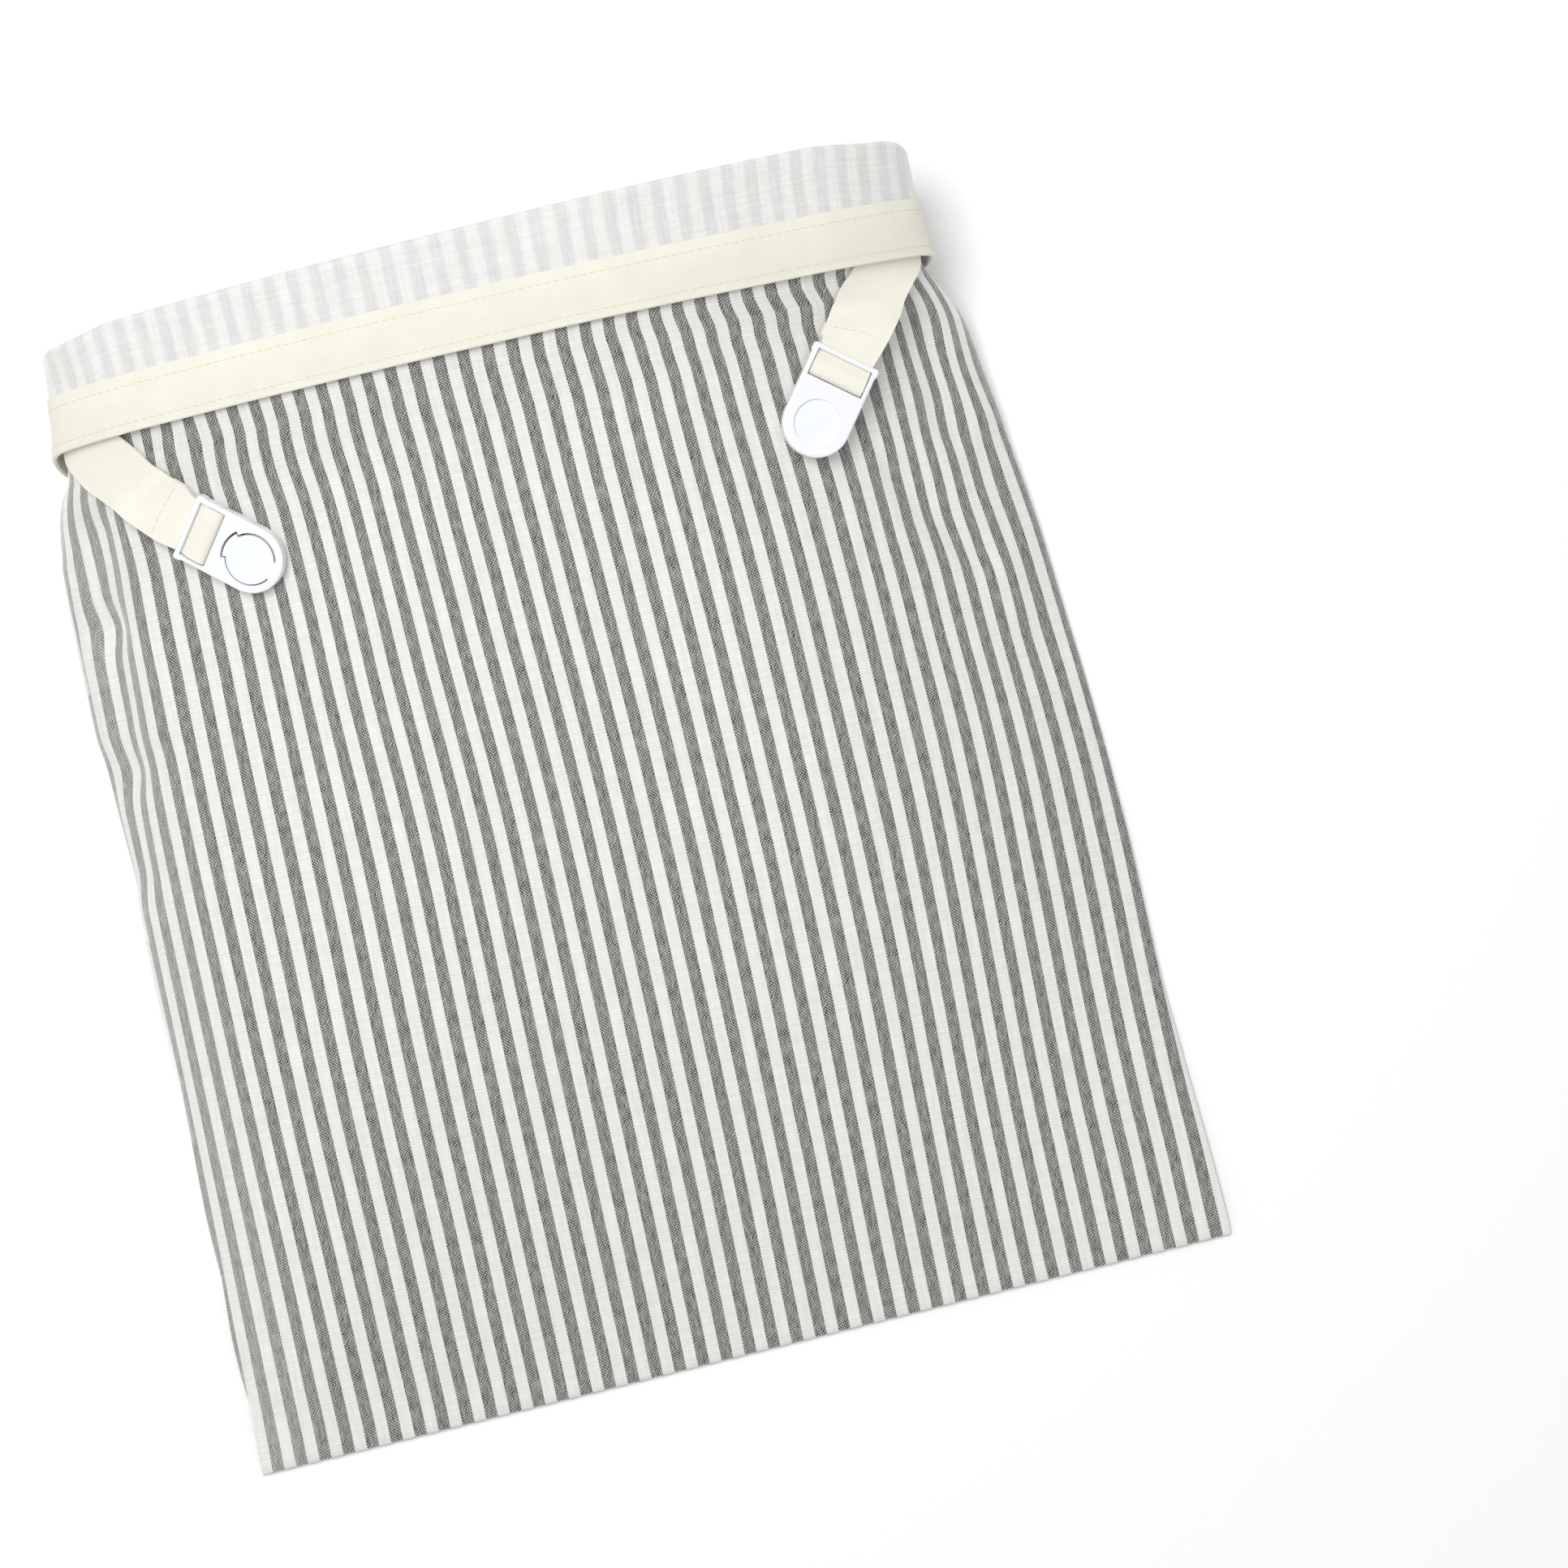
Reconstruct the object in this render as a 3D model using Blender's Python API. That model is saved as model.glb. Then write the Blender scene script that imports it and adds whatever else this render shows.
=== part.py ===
"""A linen bread bag, lying on its back with its mouth turned down outwards as a cuff.

The body is one striped cloth, folded in half at its left side and sewn along its right side
and its bottom. It stands open, as if a round loaf filled its upper half. A tape binds the mouth,
and two tape straps come out from under the cuff, each with one half of a snap buckle.

X runs across the bag, Y from its bottom seam to its mouth and Z up. The origin is below the
middle of the bag, on the surface that it lies on. Sizes are in millimetres, and MM makes
them metres.
"""

import math
from collections import namedtuple
from functools import lru_cache

import bmesh
import bpy
import numpy as np
from mathutils import Matrix

MM = 0.001

# Cloth and tape
FLAT_WIDTH = 350.6       # the empty bag, from its side fold to its side seam
CLOTH = 1.0              # thickness of the linen
TAPE = 1.0               # thickness of the binding and of the straps
CLEAR = 0.3              # gap between pieces that touch
TURN_RATIO = 1.5         # a side turn's width, as a share of its height
TURN_WIDEST = 30.0       # and the widest it gets
LEFT_CURVE = 2.0         # roundness of the left flank, from side fold to crown
RIGHT_CURVE = 1.5        # roundness of the right flank, from seam to crown

# Mouth, cuff and binding
FOLD_Y = 397.3           # the mouth's fold, over the crown
FOLD_SHOULDER = 2.0      # how much lower the fold is at the crown's two shoulders
FOLD_UNDER = 4.7         # and how much lower again round the sides and the back
EDGE_Y = 358.0           # the cuff's free edge, over the crown
EDGE_SLOPE = -0.0165     # its slope from side to side
EDGE_BACK_Y = 352.5      # the free edge under the back
CUFF_GAP = 3.0           # body to cuff, sheet middle to sheet middle
STRAP_ROOM = 1.9         # the extra gap at the sides, where a strap lies in between
BINDING_WIDTH = 19.0     # each leg of the folded tape
BINDING_GAP = 1.45       # cuff to binding, sheet middle to sheet middle

# Straps and buckles
STRAP_WIDTH = 19.6       # inside the buckle's window
STRAP_LIFT = 1.8         # body to strap, sheet middle to sheet middle
RETURN_LIFT = 1.75       # the turned-back end under the strap
DOUBLE_LIFT = 3.15       # the strap over its turned-back end
RETURN_LENGTH = 14.0     # the turned-back end above the buckle
BUCKLE_WIDTH = 23.7
BUCKLE_LENGTH = 37.3
BUCKLE_THICK = 4.4
END_BAR = 1.8            # the buckle's end bar, along the strap
END_BAR_THICK = 1.7
WINDOW_LENGTH = 9.8
WINDOW_WIDTH = 20.4
BAR_START = 5.6          # the bar that the strap turns round
BAR_LENGTH = 3.6
BAR_LOW = 1.3
BAR_HIGH = 2.9
DISC_AT = 25.4           # the disc's middle, from the end bar's outer edge
RECESS_RADIUS = 8.2      # the right buckle's round recess
RECESS_DEPTH = 1.1
FLARE = 0.4              # how much wider the end bar is, on either side
ROUNDING = 0.7           # the buckles' rounded edges

# One row for each cross-section, from the bottom seam to the mouth. left and right are the
# outermost points, *_rise their height over the back panel, *_run how far in the flank reaches,
# *_round how steeply it starts, crown the front's height and back the back panel's height.
# left_roll is the cloth brought round from the back, and right_roll what has gone under.
Section = namedtuple("Section", "y left left_rise left_run left_round right right_rise right_run"
                                " right_round crown back left_roll right_roll")
SECTIONS = [
    Section(0, -175.2, 1.0, 4, 0.50, 174.4, 1.0, 4, 0.50, 2.5, 0.5, 0.0, 0.0),
    Section(12, -175.0, 1.5, 26, 0.80, 174.4, 1.5, 45, 0.80, 5.0, 0.5, 0.4, 0.2),
    Section(29, -174.6, 1.8, 40, 0.80, 174.4, 1.7, 80, 0.90, 9.5, 0.5, 1.2, 0.4),
    Section(57, -173.5, 2.4, 60, 0.78, 174.1, 1.8, 100, 0.95, 17.0, 0.5, 3.0, 0.8),
    Section(86, -172.4, 3.2, 72, 0.74, 174.0, 1.9, 107, 1.00, 24.0, 0.5, 5.0, 1.4),
    Section(114, -171.5, 4.0, 84, 0.70, 173.9, 2.0, 110, 1.00, 30.5, 0.5, 7.0, 2.2),
    Section(143, -170.6, 4.6, 96, 0.68, 173.8, 2.1, 110, 1.00, 36.0, 0.5, 9.0, 3.0),
    Section(171, -169.8, 5.2, 108, 0.66, 173.7, 2.2, 108, 1.00, 40.5, 0.5, 11.0, 3.5),
    Section(200, -169.0, 6.0, 118, 0.65, 173.0, 2.6, 108, 1.00, 45.0, 0.5, 13.0, 3.8),
    Section(229, -168.1, 6.8, 128, 0.64, 171.6, 3.2, 108, 0.98, 49.5, 0.5, 14.5, 4.0),
    Section(257, -167.4, 7.6, 136, 0.64, 170.1, 4.0, 110, 0.95, 54.0, 0.5, 16.0, 4.0),
    Section(286, -166.6, 8.4, 142, 0.64, 167.4, 5.0, 113, 0.92, 59.5, 0.5, 17.0, 4.2),
    Section(314, -165.6, 9.5, 148, 0.64, 164.1, 7.0, 118, 0.86, 66.0, 0.5, 17.0, 4.6),
    Section(334, -163.2, 14.0, 150, 0.61, 161.0, 11.0, 122, 0.80, 71.5, 1.4, 15.0, 5.2),
    Section(345, -158.6, 21.5, 148, 0.57, 155.6, 20.5, 124, 0.73, 76.0, 3.6, 13.0, 7.0),
    Section(352, -153.2, 28.5, 146, 0.54, 151.2, 28.5, 124, 0.67, 79.0, 5.2, 9.0, 9.0),
    Section(360, -150.3, 34.5, 143, 0.52, 149.2, 35.0, 122, 0.61, 82.5, 5.3, 5.0, 12.0),
    Section(372, -147.2, 39.5, 140, 0.51, 148.6, 40.0, 121, 0.56, 86.5, 5.3, 0.0, 15.0),
    Section(398, -144.8, 43.0, 138, 0.50, 149.4, 43.0, 120, 0.54, 91.0, 5.3, -4.0, 17.0),
]

# Soft folds in the front, in cloth measure: across is counted along the front from the side
# seam and up from the bottom. A trough has a depth below zero and a ridge one above it.
Fold = namedtuple("Fold", "across_from up_from across_to up_to width height")
FOLDS = [
    Fold(339, 332, 347, 300, 8.5, -3.4),      # crease inside the left roll, upper end
    Fold(347, 300, 352, 250, 8.5, -3.4),      # its middle
    Fold(352, 250, 356, 215, 8.5, -2.4),      # and its lower end
    Fold(360, 322, 363, 265, 7.5, 1.6),       # the roll outside it
    Fold(322, 330, 333, 262, 9.5, 1.8),       # the cloth standing up inside it
    Fold(55, 284, 32, 255, 9.0, -3.2),        # dent low on the right flank
    Fold(34, 290, 22, 232, 8.0, 1.4),         # ridge beside the dent
    Fold(20, 340, 14, 300, 7.5, 1.8),         # pull line under the right strap
    Fold(32, 334, 29, 296, 7.5, -1.8),        # and the hollow beside it
]

# The straps' two edges in cloth measure, from the tucked end to the buckle's end bar. A strap
# is wider at the cuff than in the buckle's narrow window, and its outer edge stands off the
# flank, because the strap bridges from the cuff to the flat buckle.
Edges = namedtuple("Edges", "inner_across inner_up outer_across outer_up stand")
STRAP_LEFT = [
    Edges(328.0, 370.0, 349.0, 368.0, 0.0),
    Edges(322.0, 361.8, 350.0, 357.5, 0.0),
    Edges(318.0, 356.6, 343.4, 349.7, 1.0),
    Edges(311.9, 349.3, 334.0, 342.9, 2.5),
    Edges(304.6, 344.2, 323.8, 335.5, 3.5),
    Edges(298.0, 339.3, 316.1, 327.5, 3.5),
    Edges(292.6, 335.1, 310.2, 319.8, 3.0),
]
STRAP_RIGHT = [
    Edges(37.0, 366.0, 14.0, 364.0, 0.0),
    Edges(44.5, 355.5, 14.0, 354.5, 0.0),
    Edges(49.0, 351.8, 17.5, 350.3, 3.0),
    Edges(55.2, 347.5, 26.4, 345.1, 8.0),
    Edges(63.5, 341.5, 35.6, 337.9, 11.0),
    Edges(68.8, 337.5, 43.2, 331.7, 11.5),
    Edges(73.0, 333.7, 49.8, 324.8, 11.0),
]

# Where the buckles lie in cloth measure: the middles of the end bar's edge and of the disc.
# A level share of 0 lays a buckle along the slope of the cloth and 1 lays it level.
Lie = namedtuple("Lie", "bar_across bar_up disc_across disc_up level")
LIE_LEFT = Lie(299.9, 327.0, 278.8, 308.8, 0.0)
LIE_RIGHT = Lie(63.2, 328.2, 83.2, 306.5, 0.65)

# The cut that frees the left buckle's press disc: angles from the tip, and its two radii. It is
# open all round but for a bridge at the tip, and steps outwards at the thumb's tab.
Cut = namedtuple("Cut", "start end inner outer")
SLIT = [Cut(21, 143, 8.5, 9.3), Cut(139, 203, 9.9, 10.7), Cut(199, 339, 8.6, 9.1)]

# How finely the solids are divided
FRONT_COLUMNS = 46
TURN_COLUMNS = 6
BACK_COLUMNS = 7
FINE = 240               # points along each section's exact outline

MIDDLE_X = (SECTIONS[0].left + SECTIONS[0].right) / 2
MIDDLE_Y = FOLD_Y / 2


def smoothstep(value, low, high):
    t = min(max((value - low) / (high - low), 0.0), 1.0)
    return t * t * (3 - 2 * t)


def table_value(name, y):
    """Reads one column of SECTIONS at any y, on a smooth curve that makes no new bumps."""
    ys = [row.y for row in SECTIONS]
    values = [getattr(row, name) for row in SECTIONS]
    steps = [(values[i + 1] - values[i]) / (ys[i + 1] - ys[i]) for i in range(len(ys) - 1)]
    slopes = [steps[0]]
    for before, after in zip(steps, steps[1:]):
        slopes.append(2 * before * after / (before + after) if before * after > 0 else 0.0)
    slopes.append(steps[-1])
    y = min(max(y, ys[0]), ys[-1])
    i = max(k for k in range(len(ys) - 1) if ys[k] <= y)
    span = ys[i + 1] - ys[i]
    t = (y - ys[i]) / span
    return ((2 * t**3 - 3 * t**2 + 1) * values[i] + (t**3 - 2 * t**2 + t) * span * slopes[i]
            + (3 * t**2 - 2 * t**3) * values[i + 1] + (t**3 - t**2) * span * slopes[i + 1])


def flank(inward, curve, roundness):
    """Height of a flank, 0 at the side and 1 at the crown, for a share of its run."""
    return (1 - (1 - np.clip(inward, 0, 1)) ** curve) ** roundness


def fold_height(across, up):
    """How far the soft folds push the cloth outwards at a point of the front."""
    total = 0.0
    for fold in FOLDS:
        start = np.array([fold.across_from, fold.up_from], float)
        along = np.array([fold.across_to, fold.up_to], float) - start
        share = np.dot(np.array([across, up]) - start, along) / np.dot(along, along)
        near = start + min(max(share, 0.0), 1.0) * along
        past = max(-share, share - 1.0, 0.0) * np.linalg.norm(along)
        off = np.hypot(*(np.array([across, up]) - near))
        total += fold.height * math.exp(-(off / fold.width) ** 2 - (past / 16.0) ** 2)
    return total


@lru_cache(maxsize=None)
def outline(y):
    """The section at y: its points, outward normals, cloth measure and four landmarks.

    It runs from the right side over the front to the left side and back under the bag."""
    row = Section(y, *[table_value(name, y) for name in Section._fields[1:]])
    meet = (row.left + row.left_run + row.right - row.right_run) / 2
    inward = np.linspace(0, 1, FINE) ** 2
    x_right = row.right - (row.right - meet) * inward
    x_left = row.left + (meet - row.left) * inward
    low_right, low_left = row.back + row.right_rise, row.back + row.left_rise
    z_right = low_right + (row.crown - low_right) * flank(
        (row.right - x_right) / row.right_run, RIGHT_CURVE, row.right_round)
    z_left = low_left + (row.crown - low_left) * flank(
        (x_left - row.left) / row.left_run, LEFT_CURVE, row.left_round)
    front = np.vstack([np.column_stack([x_right, z_right]),
                       np.column_stack([x_left, z_left])[::-1][1:]])
    angle = np.linspace(0, math.pi / 2, FINE // 10)
    left_turn = min(TURN_RATIO * row.left_rise, TURN_WIDEST)
    right_turn = min(TURN_RATIO * row.right_rise, TURN_WIDEST)
    under_left = np.column_stack([row.left + left_turn * (1 - np.cos(angle)),
                                  low_left - row.left_rise * np.sin(angle)])
    under_right = np.column_stack([row.right - right_turn * (1 - np.cos(angle)),
                                   low_right - row.right_rise * np.sin(angle)])[::-1]
    points = np.vstack([front, under_left[1:], under_right])
    marks = [0, len(front) - 1, len(front) + len(under_left) - 2, len(points) - len(under_right),
             len(points) - 1]

    steps = np.linalg.norm(np.diff(points, axis=0), axis=1)
    arc = np.concatenate([[0.0], np.cumsum(steps)])
    across_left = FLAT_WIDTH + row.left_roll
    front_arc = arc[marks[1]]
    across = np.where(arc <= front_arc,
                      row.right_roll + arc / front_arc * (across_left - row.right_roll),
                      across_left + (arc - front_arc) / (arc[-1] - front_arc)
                      * (2 * FLAT_WIDTH + row.right_roll - across_left))
    tangent = np.gradient(points, axis=0)
    tangent /= np.maximum(np.linalg.norm(tangent, axis=1), 1e-9)[:, None]
    normal = np.column_stack([tangent[:, 1], -tangent[:, 0]])
    side = normal[1] + normal[-2]
    normal[0] = normal[-1] = side / np.linalg.norm(side)
    return points, normal, across, marks


def place(y, across, offset=0.0, folds=True):
    """A point of the body's middle surface in cloth measure, moved outwards by offset."""
    points, normal, measure, _ = outline(round(y, 3))
    x, z = (np.interp(across, measure, points[:, axis]) for axis in (0, 1))
    nx, nz = (np.interp(across, measure, normal[:, axis]) for axis in (0, 1))
    length = math.hypot(nx, nz)
    push = offset + (fold_height(across, y) if folds else 0.0)
    return np.array([x + nx / length * push, y, z + nz / length * push])


def column_measures(y):
    """Cloth measure of every mesh column at y: front, left turn, back panel, right turn."""
    _, _, measure, marks = outline(round(y, 3))
    right, left, left_flat, right_flat, end = (measure[mark] for mark in marks)
    shares = [k / FRONT_COLUMNS for k in range(FRONT_COLUMNS)]
    shares = [0.45 * s + 0.55 * (1 - math.cos(math.pi * s)) / 2 for s in shares]
    columns = [right + (left - right) * s for s in shares]
    columns += [left + (left_flat - left) * k / TURN_COLUMNS for k in range(TURN_COLUMNS)]
    columns += [left_flat + (right_flat - left_flat) * k / BACK_COLUMNS
                for k in range(BACK_COLUMNS)]
    columns += [right_flat + (end - right_flat) * k / TURN_COLUMNS for k in range(TURN_COLUMNS)]
    return columns


COLUMNS = len(column_measures(0))


def mouth_column(k):
    """Where the mouth's fold and the cuff's free edge lie on column k, and the cuff's gap."""
    x, _, z = place(380, column_measures(380)[k], folds=False)
    upper = smoothstep(z, 15, 50)
    fold = (FOLD_Y - FOLD_SHOULDER * smoothstep(abs(x), 118, 140)
            - FOLD_UNDER * (1 - smoothstep(z, 40, 56)))
    edge = upper * (EDGE_Y + EDGE_SLOPE * x) + (1 - upper) * EDGE_BACK_Y
    gap = CUFF_GAP + STRAP_ROOM * max(smoothstep(abs(x), 118, 132),
                                      smoothstep(abs(x), 100, 128) * smoothstep(z, 2, 20))
    return fold, edge, gap


def wall_point(k, y, offset=0.0):
    return place(y, column_measures(y)[k], offset)


def in_metres(point):
    x, y, z = point
    return ((x - MIDDLE_X) * MM, (y - MIDDLE_Y) * MM, z * MM)


def make_material(name, colour, roughness):
    material = bpy.data.materials.new(name)
    material.use_nodes = True
    shader = material.node_tree.nodes["Principled BSDF"]
    shader.inputs["Base Color"].default_value = (*colour, 1.0)
    shader.inputs["Roughness"].default_value = roughness
    shader.inputs["Metallic"].default_value = 0.0
    return material


def add_object(name, mesh, material=None):
    data = bpy.data.meshes.new(name)
    mesh.normal_update()
    mesh.to_mesh(data)
    mesh.free()
    obj = bpy.data.objects.new(name, data)
    bpy.context.scene.collection.objects.link(obj)
    if material:
        data.materials.append(material)
    return obj


def sheet_object(name, rows, ring, thickness, material, closed_start=False):
    """Joins rows of points into a sheet and gives it a thickness, half to each side."""
    mesh = bmesh.new()
    lines = [[mesh.verts.new(in_metres(point)) for point in row] for row in rows]
    count = len(rows[0])
    for lower, upper in zip(lines, lines[1:]):
        for k in range(count if ring else count - 1):
            after = (k + 1) % count
            mesh.faces.new((lower[k], lower[after], upper[after], upper[k]))
    if closed_start:
        mesh.faces.new(lines[0][::-1])
    obj = add_object(name, mesh, material)
    solid = obj.modifiers.new("Thickness", "SOLIDIFY")
    solid.thickness = thickness * MM
    solid.offset = 0.0
    solid.use_even_offset = True
    solid.use_quality_normals = True
    return obj


# ------------------------------------------------------------ body and binding

BODY_Y = [0, 10, 25, 50, 80, 110, 140, 170, 195, 216, 234, 250, 264, 277, 289, 300, 311, 321,
          331, 340]
TURN_ANGLES = [45, 90, 135, 180]            # rows round a fold
BINDING_SHARES = [0.0, 0.33, 0.67, 1.0]     # rows up each leg of the binding


def binding_ys(edge):
    """Heights of the rows on the binding's legs. The cloth inside it has rows there too."""
    turn = TAPE / 2 + BINDING_GAP
    return [edge + turn + share * (BINDING_WIDTH - turn) for share in BINDING_SHARES]


def build_body(material):
    """One sheet: the closed bottom, the tube up to the fold, and the cuff outside it."""
    mouth = [mouth_column(k) for k in range(COLUMNS)]
    columns = []
    for k, (fold, edge, gap) in enumerate(mouth):
        legs = binding_ys(edge)
        turn = fold - gap / 2
        near = (BODY_Y[-1] + edge - 4) / 2
        tube = BODY_Y + [near, edge - 4] + legs + [(legs[-1] + turn) / 2, turn]
        column = [wall_point(k, y) for y in tube]
        for degrees in TURN_ANGLES:
            angle = math.radians(degrees)
            forward = np.array([0, gap / 2 * math.sin(angle), 0])
            column.append(wall_point(k, turn, gap / 2 * (1 - math.cos(angle))) + forward)
        cuff = [(legs[-1] + turn) / 2] + legs[:0:-1] + [legs[0] + 2.0]
        column += [wall_point(k, y, gap) for y in cuff]
        columns.append(column)
    return sheet_object("bag_body", list(zip(*columns)), True, CLOTH, material,
                        closed_start=True)


def build_binding(material):
    """A tape folded in half over the cuff's free edge, all the way round."""
    columns = []
    for k in range(COLUMNS):
        _, edge, gap = mouth_column(k)
        legs = binding_ys(edge)
        column = [wall_point(k, y, gap + BINDING_GAP) for y in legs[::-1]]
        for degrees in TURN_ANGLES[:-1]:
            angle = math.radians(degrees)
            column.append(wall_point(k, legs[0] - BINDING_GAP * math.sin(angle),
                                     gap + BINDING_GAP * math.cos(angle)))
        column += [wall_point(k, y, gap - BINDING_GAP) for y in legs]
        columns.append(column)
    return sheet_object("mouth_binding", list(zip(*columns)), True, TAPE, material)


# ------------------------------------------------------------ straps and buckles

Seat = namedtuple("Seat", "origin along across out")


def strap_length(edges):
    """The distance along a strap's middle line at each row of its table."""
    middles = [(np.array(row[:2]) + np.array(row[2:4])) / 2 for row in edges]
    steps = [np.linalg.norm(after - before) for before, after in zip(middles, middles[1:])]
    return np.concatenate([[0.0], np.cumsum(steps)])


def over_body(edges, before_bar, v, lift):
    """A strap's point, at a distance back from the buckle; v is -1 inside and 1 outside."""
    gone = strap_length(edges)
    position = np.interp(gone[-1] - before_bar, gone, range(len(edges)))
    i = min(int(position), len(edges) - 2)
    t = position - i
    a, b, c, d = (np.array(edges[min(max(k, 0), len(edges) - 1)]) for k in range(i - 1, i + 3))
    row = 0.5 * (2 * b + (c - a) * t + (2 * a - 5 * b + 4 * c - d) * t**2
                 + (3 * b - a - 3 * c + d) * t**3)
    share = (1 + v) / 2
    across, up = (1 - share) * row[:2] + share * row[2:4]
    return place(up, across, lift) + np.array([0, 0, share * row[4]])


def buckle_seat(lie):
    """Where a buckle lies: on the plane of the cloth below it, lifted clear of its high spots."""
    start = np.array(lie[:2])
    ahead = np.array(lie[2:4]) - start
    ahead /= np.linalg.norm(ahead)

    def cloth_point(s, t, lift):
        across, up = start + s * ahead + t * np.array([-ahead[1], ahead[0]])
        return place(up, across, lift)

    cloth = np.array([cloth_point(s, t, CLOTH / 2) for s in np.linspace(-1, BUCKLE_LENGTH + 1, 9)
                      for t in np.linspace(-BUCKLE_WIDTH / 2, BUCKLE_WIDTH / 2, 5)])
    middle = cloth.mean(axis=0)
    out = np.linalg.svd(cloth - middle)[2][2]
    out = (1 - lie.level) * math.copysign(1, out[2]) * out + lie.level * np.array([0, 0, 1])
    out /= np.linalg.norm(out)
    bar = cloth_point(0, 0, 0)
    along = cloth_point(BUCKLE_LENGTH, 0, 0) - bar
    along -= np.dot(along, out) * out
    along /= np.linalg.norm(along)
    across = np.cross(out, along)
    height = max(np.dot(point - bar, out) for point in cloth) + CLEAR
    return Seat(bar + height * out, along, across, out)


def in_seat(seat, ahead, sideways, height):
    return seat.origin + ahead * seat.along + sideways * seat.across + height * seat.out


# The strap's way through the buckle, as seen from its side: ahead of the end bar's outer edge,
# and above the buckle's underside. It goes under the end bar, over the bar and back below both.
Turn = namedtuple("Turn", "ahead height")
THROUGH = [Turn(0, 1.9), Turn(2.2, 1.95), Turn(3.8, 2.7), Turn(5.4, 3.65), Turn(7.4, 3.75),
           Turn(9.3, 3.7), Turn(10.35, 3.1), Turn(10.7, 2.1), Turn(10.35, 1.1), Turn(9.3, 0.5),
           Turn(7.0, 0.5), Turn(3.5, 0.5), Turn(0, 0.5)]
STRAP_ACROSS = [-1, -0.5, 0, 0.5, 1]


def build_strap(name, edges, seat, material):
    """A tape from under the cuff, through the buckle and back, as one bent sheet."""
    outwards = over_body(edges, 0, 1, 0) - over_body(edges, 0, -1, 0)
    mirror = math.copysign(1, np.dot(seat.across, outwards))
    length = strap_length(edges)[-1]

    def row_at(before_bar, wall_lift, seat_height):
        share = smoothstep(before_bar, 0, 8)
        row = []
        for v in STRAP_ACROSS:
            rigid = in_seat(seat, -before_bar, mirror * v * STRAP_WIDTH / 2, seat_height)
            soft = over_body(edges, before_bar, v, wall_lift)
            row.append(share * soft + (1 - share) * rigid)
        return row

    rows = []
    steps = 8
    for k in range(steps + 1):
        before_bar = length + (RETURN_LENGTH - length) * k / steps
        rise = 1 - smoothstep(before_bar, RETURN_LENGTH + 1, RETURN_LENGTH + 9)
        rows.append(row_at(before_bar, STRAP_LIFT + rise * (DOUBLE_LIFT - STRAP_LIFT), 0))
    for before_bar in (11, 8, 5, 2.5):
        rows.append(row_at(before_bar, DOUBLE_LIFT, THROUGH[0].height))
    for turn in THROUGH:
        rows.append([in_seat(seat, turn.ahead, mirror * v * STRAP_WIDTH / 2, turn.height)
                     for v in STRAP_ACROSS])
    for before_bar in (2.5, 5, 8, 11, RETURN_LENGTH):
        rows.append(row_at(before_bar, RETURN_LIFT, THROUGH[-1].height))
    return sheet_object(name, rows, False, TAPE, material)


def prism(name, outline_points, low, high, material=None):
    """A plate of the given outline, in its own flat frame."""
    mesh = bmesh.new()
    verts = [mesh.verts.new((x * MM, y * MM, low * MM)) for x, y in outline_points]
    face = mesh.faces.new(verts)
    raised = bmesh.ops.extrude_face_region(mesh, geom=[face])["geom"]
    bmesh.ops.translate(mesh, vec=(0, 0, (high - low) * MM),
                        verts=[part for part in raised if isinstance(part, bmesh.types.BMVert)])
    bmesh.ops.recalc_face_normals(mesh, faces=mesh.faces)
    return add_object(name, mesh, material)


def rectangle(x_low, x_high, y_low, y_high):
    return [(x_low, y_low), (x_high, y_low), (x_high, y_high), (x_low, y_high)]


def arc_points(x, y, radius, start, end, steps):
    angles = [math.radians(start + (end - start) * k / steps) for k in range(steps + 1)]
    return [(x + radius * math.cos(angle), y + radius * math.sin(angle)) for angle in angles]


def cut(obj, cutter, operation="DIFFERENCE"):
    modifier = obj.modifiers.new(cutter.name, "BOOLEAN")
    modifier.operation = operation
    modifier.solver = "EXACT"
    modifier.object = cutter
    cutter.hide_render = True
    cutter.display_type = "WIRE"
    cutter.parent = obj


def build_buckle(name, seat, cutters, material):
    """A moulded half buckle: round-ended plate, end bar, window and the strap's bar."""
    half = BUCKLE_WIDTH / 2
    end, corner = half + FLARE, 1.0
    plate = [*arc_points(DISC_AT, 0, half, -90, 90, 24), (3.4, half), (2.6, end),
             *arc_points(corner, end - corner, corner, 90, 180, 3),
             *arc_points(corner, corner - end, corner, 180, 270, 3), (2.6, -end), (3.4, -half)]
    buckle = prism(name, plate, 0, BUCKLE_THICK, material)
    rounding = buckle.modifiers.new("Rounding", "BEVEL")
    rounding.width = ROUNDING * MM
    rounding.segments = 2
    rounding.angle_limit = math.radians(50)
    window = prism(name + "_window", rectangle(END_BAR, END_BAR + WINDOW_LENGTH,
                                               -WINDOW_WIDTH / 2, WINDOW_WIDTH / 2), -1, 6)
    way_in = prism(name + "_way_in", rectangle(-1, END_BAR + 1, -WINDOW_WIDTH / 2,
                                               WINDOW_WIDTH / 2), -1, BUCKLE_THICK - END_BAR_THICK)
    bar = prism(name + "_bar", rectangle(BAR_START, BAR_START + BAR_LENGTH,
                                         -WINDOW_WIDTH / 2 - 1, WINDOW_WIDTH / 2 + 1),
                BAR_LOW, BAR_HIGH)
    cut(buckle, window)
    cut(buckle, way_in)
    cut(buckle, bar, "UNION")
    for cutter in cutters:
        cut(buckle, cutter)
    axes = [seat.along, seat.across, seat.out]
    corner_of = in_metres(seat.origin)
    buckle.matrix_world = Matrix([[*(axis[i] for axis in axes), corner_of[i]] for i in range(3)]
                                 + [[0, 0, 0, 1]])
    return buckle


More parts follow.
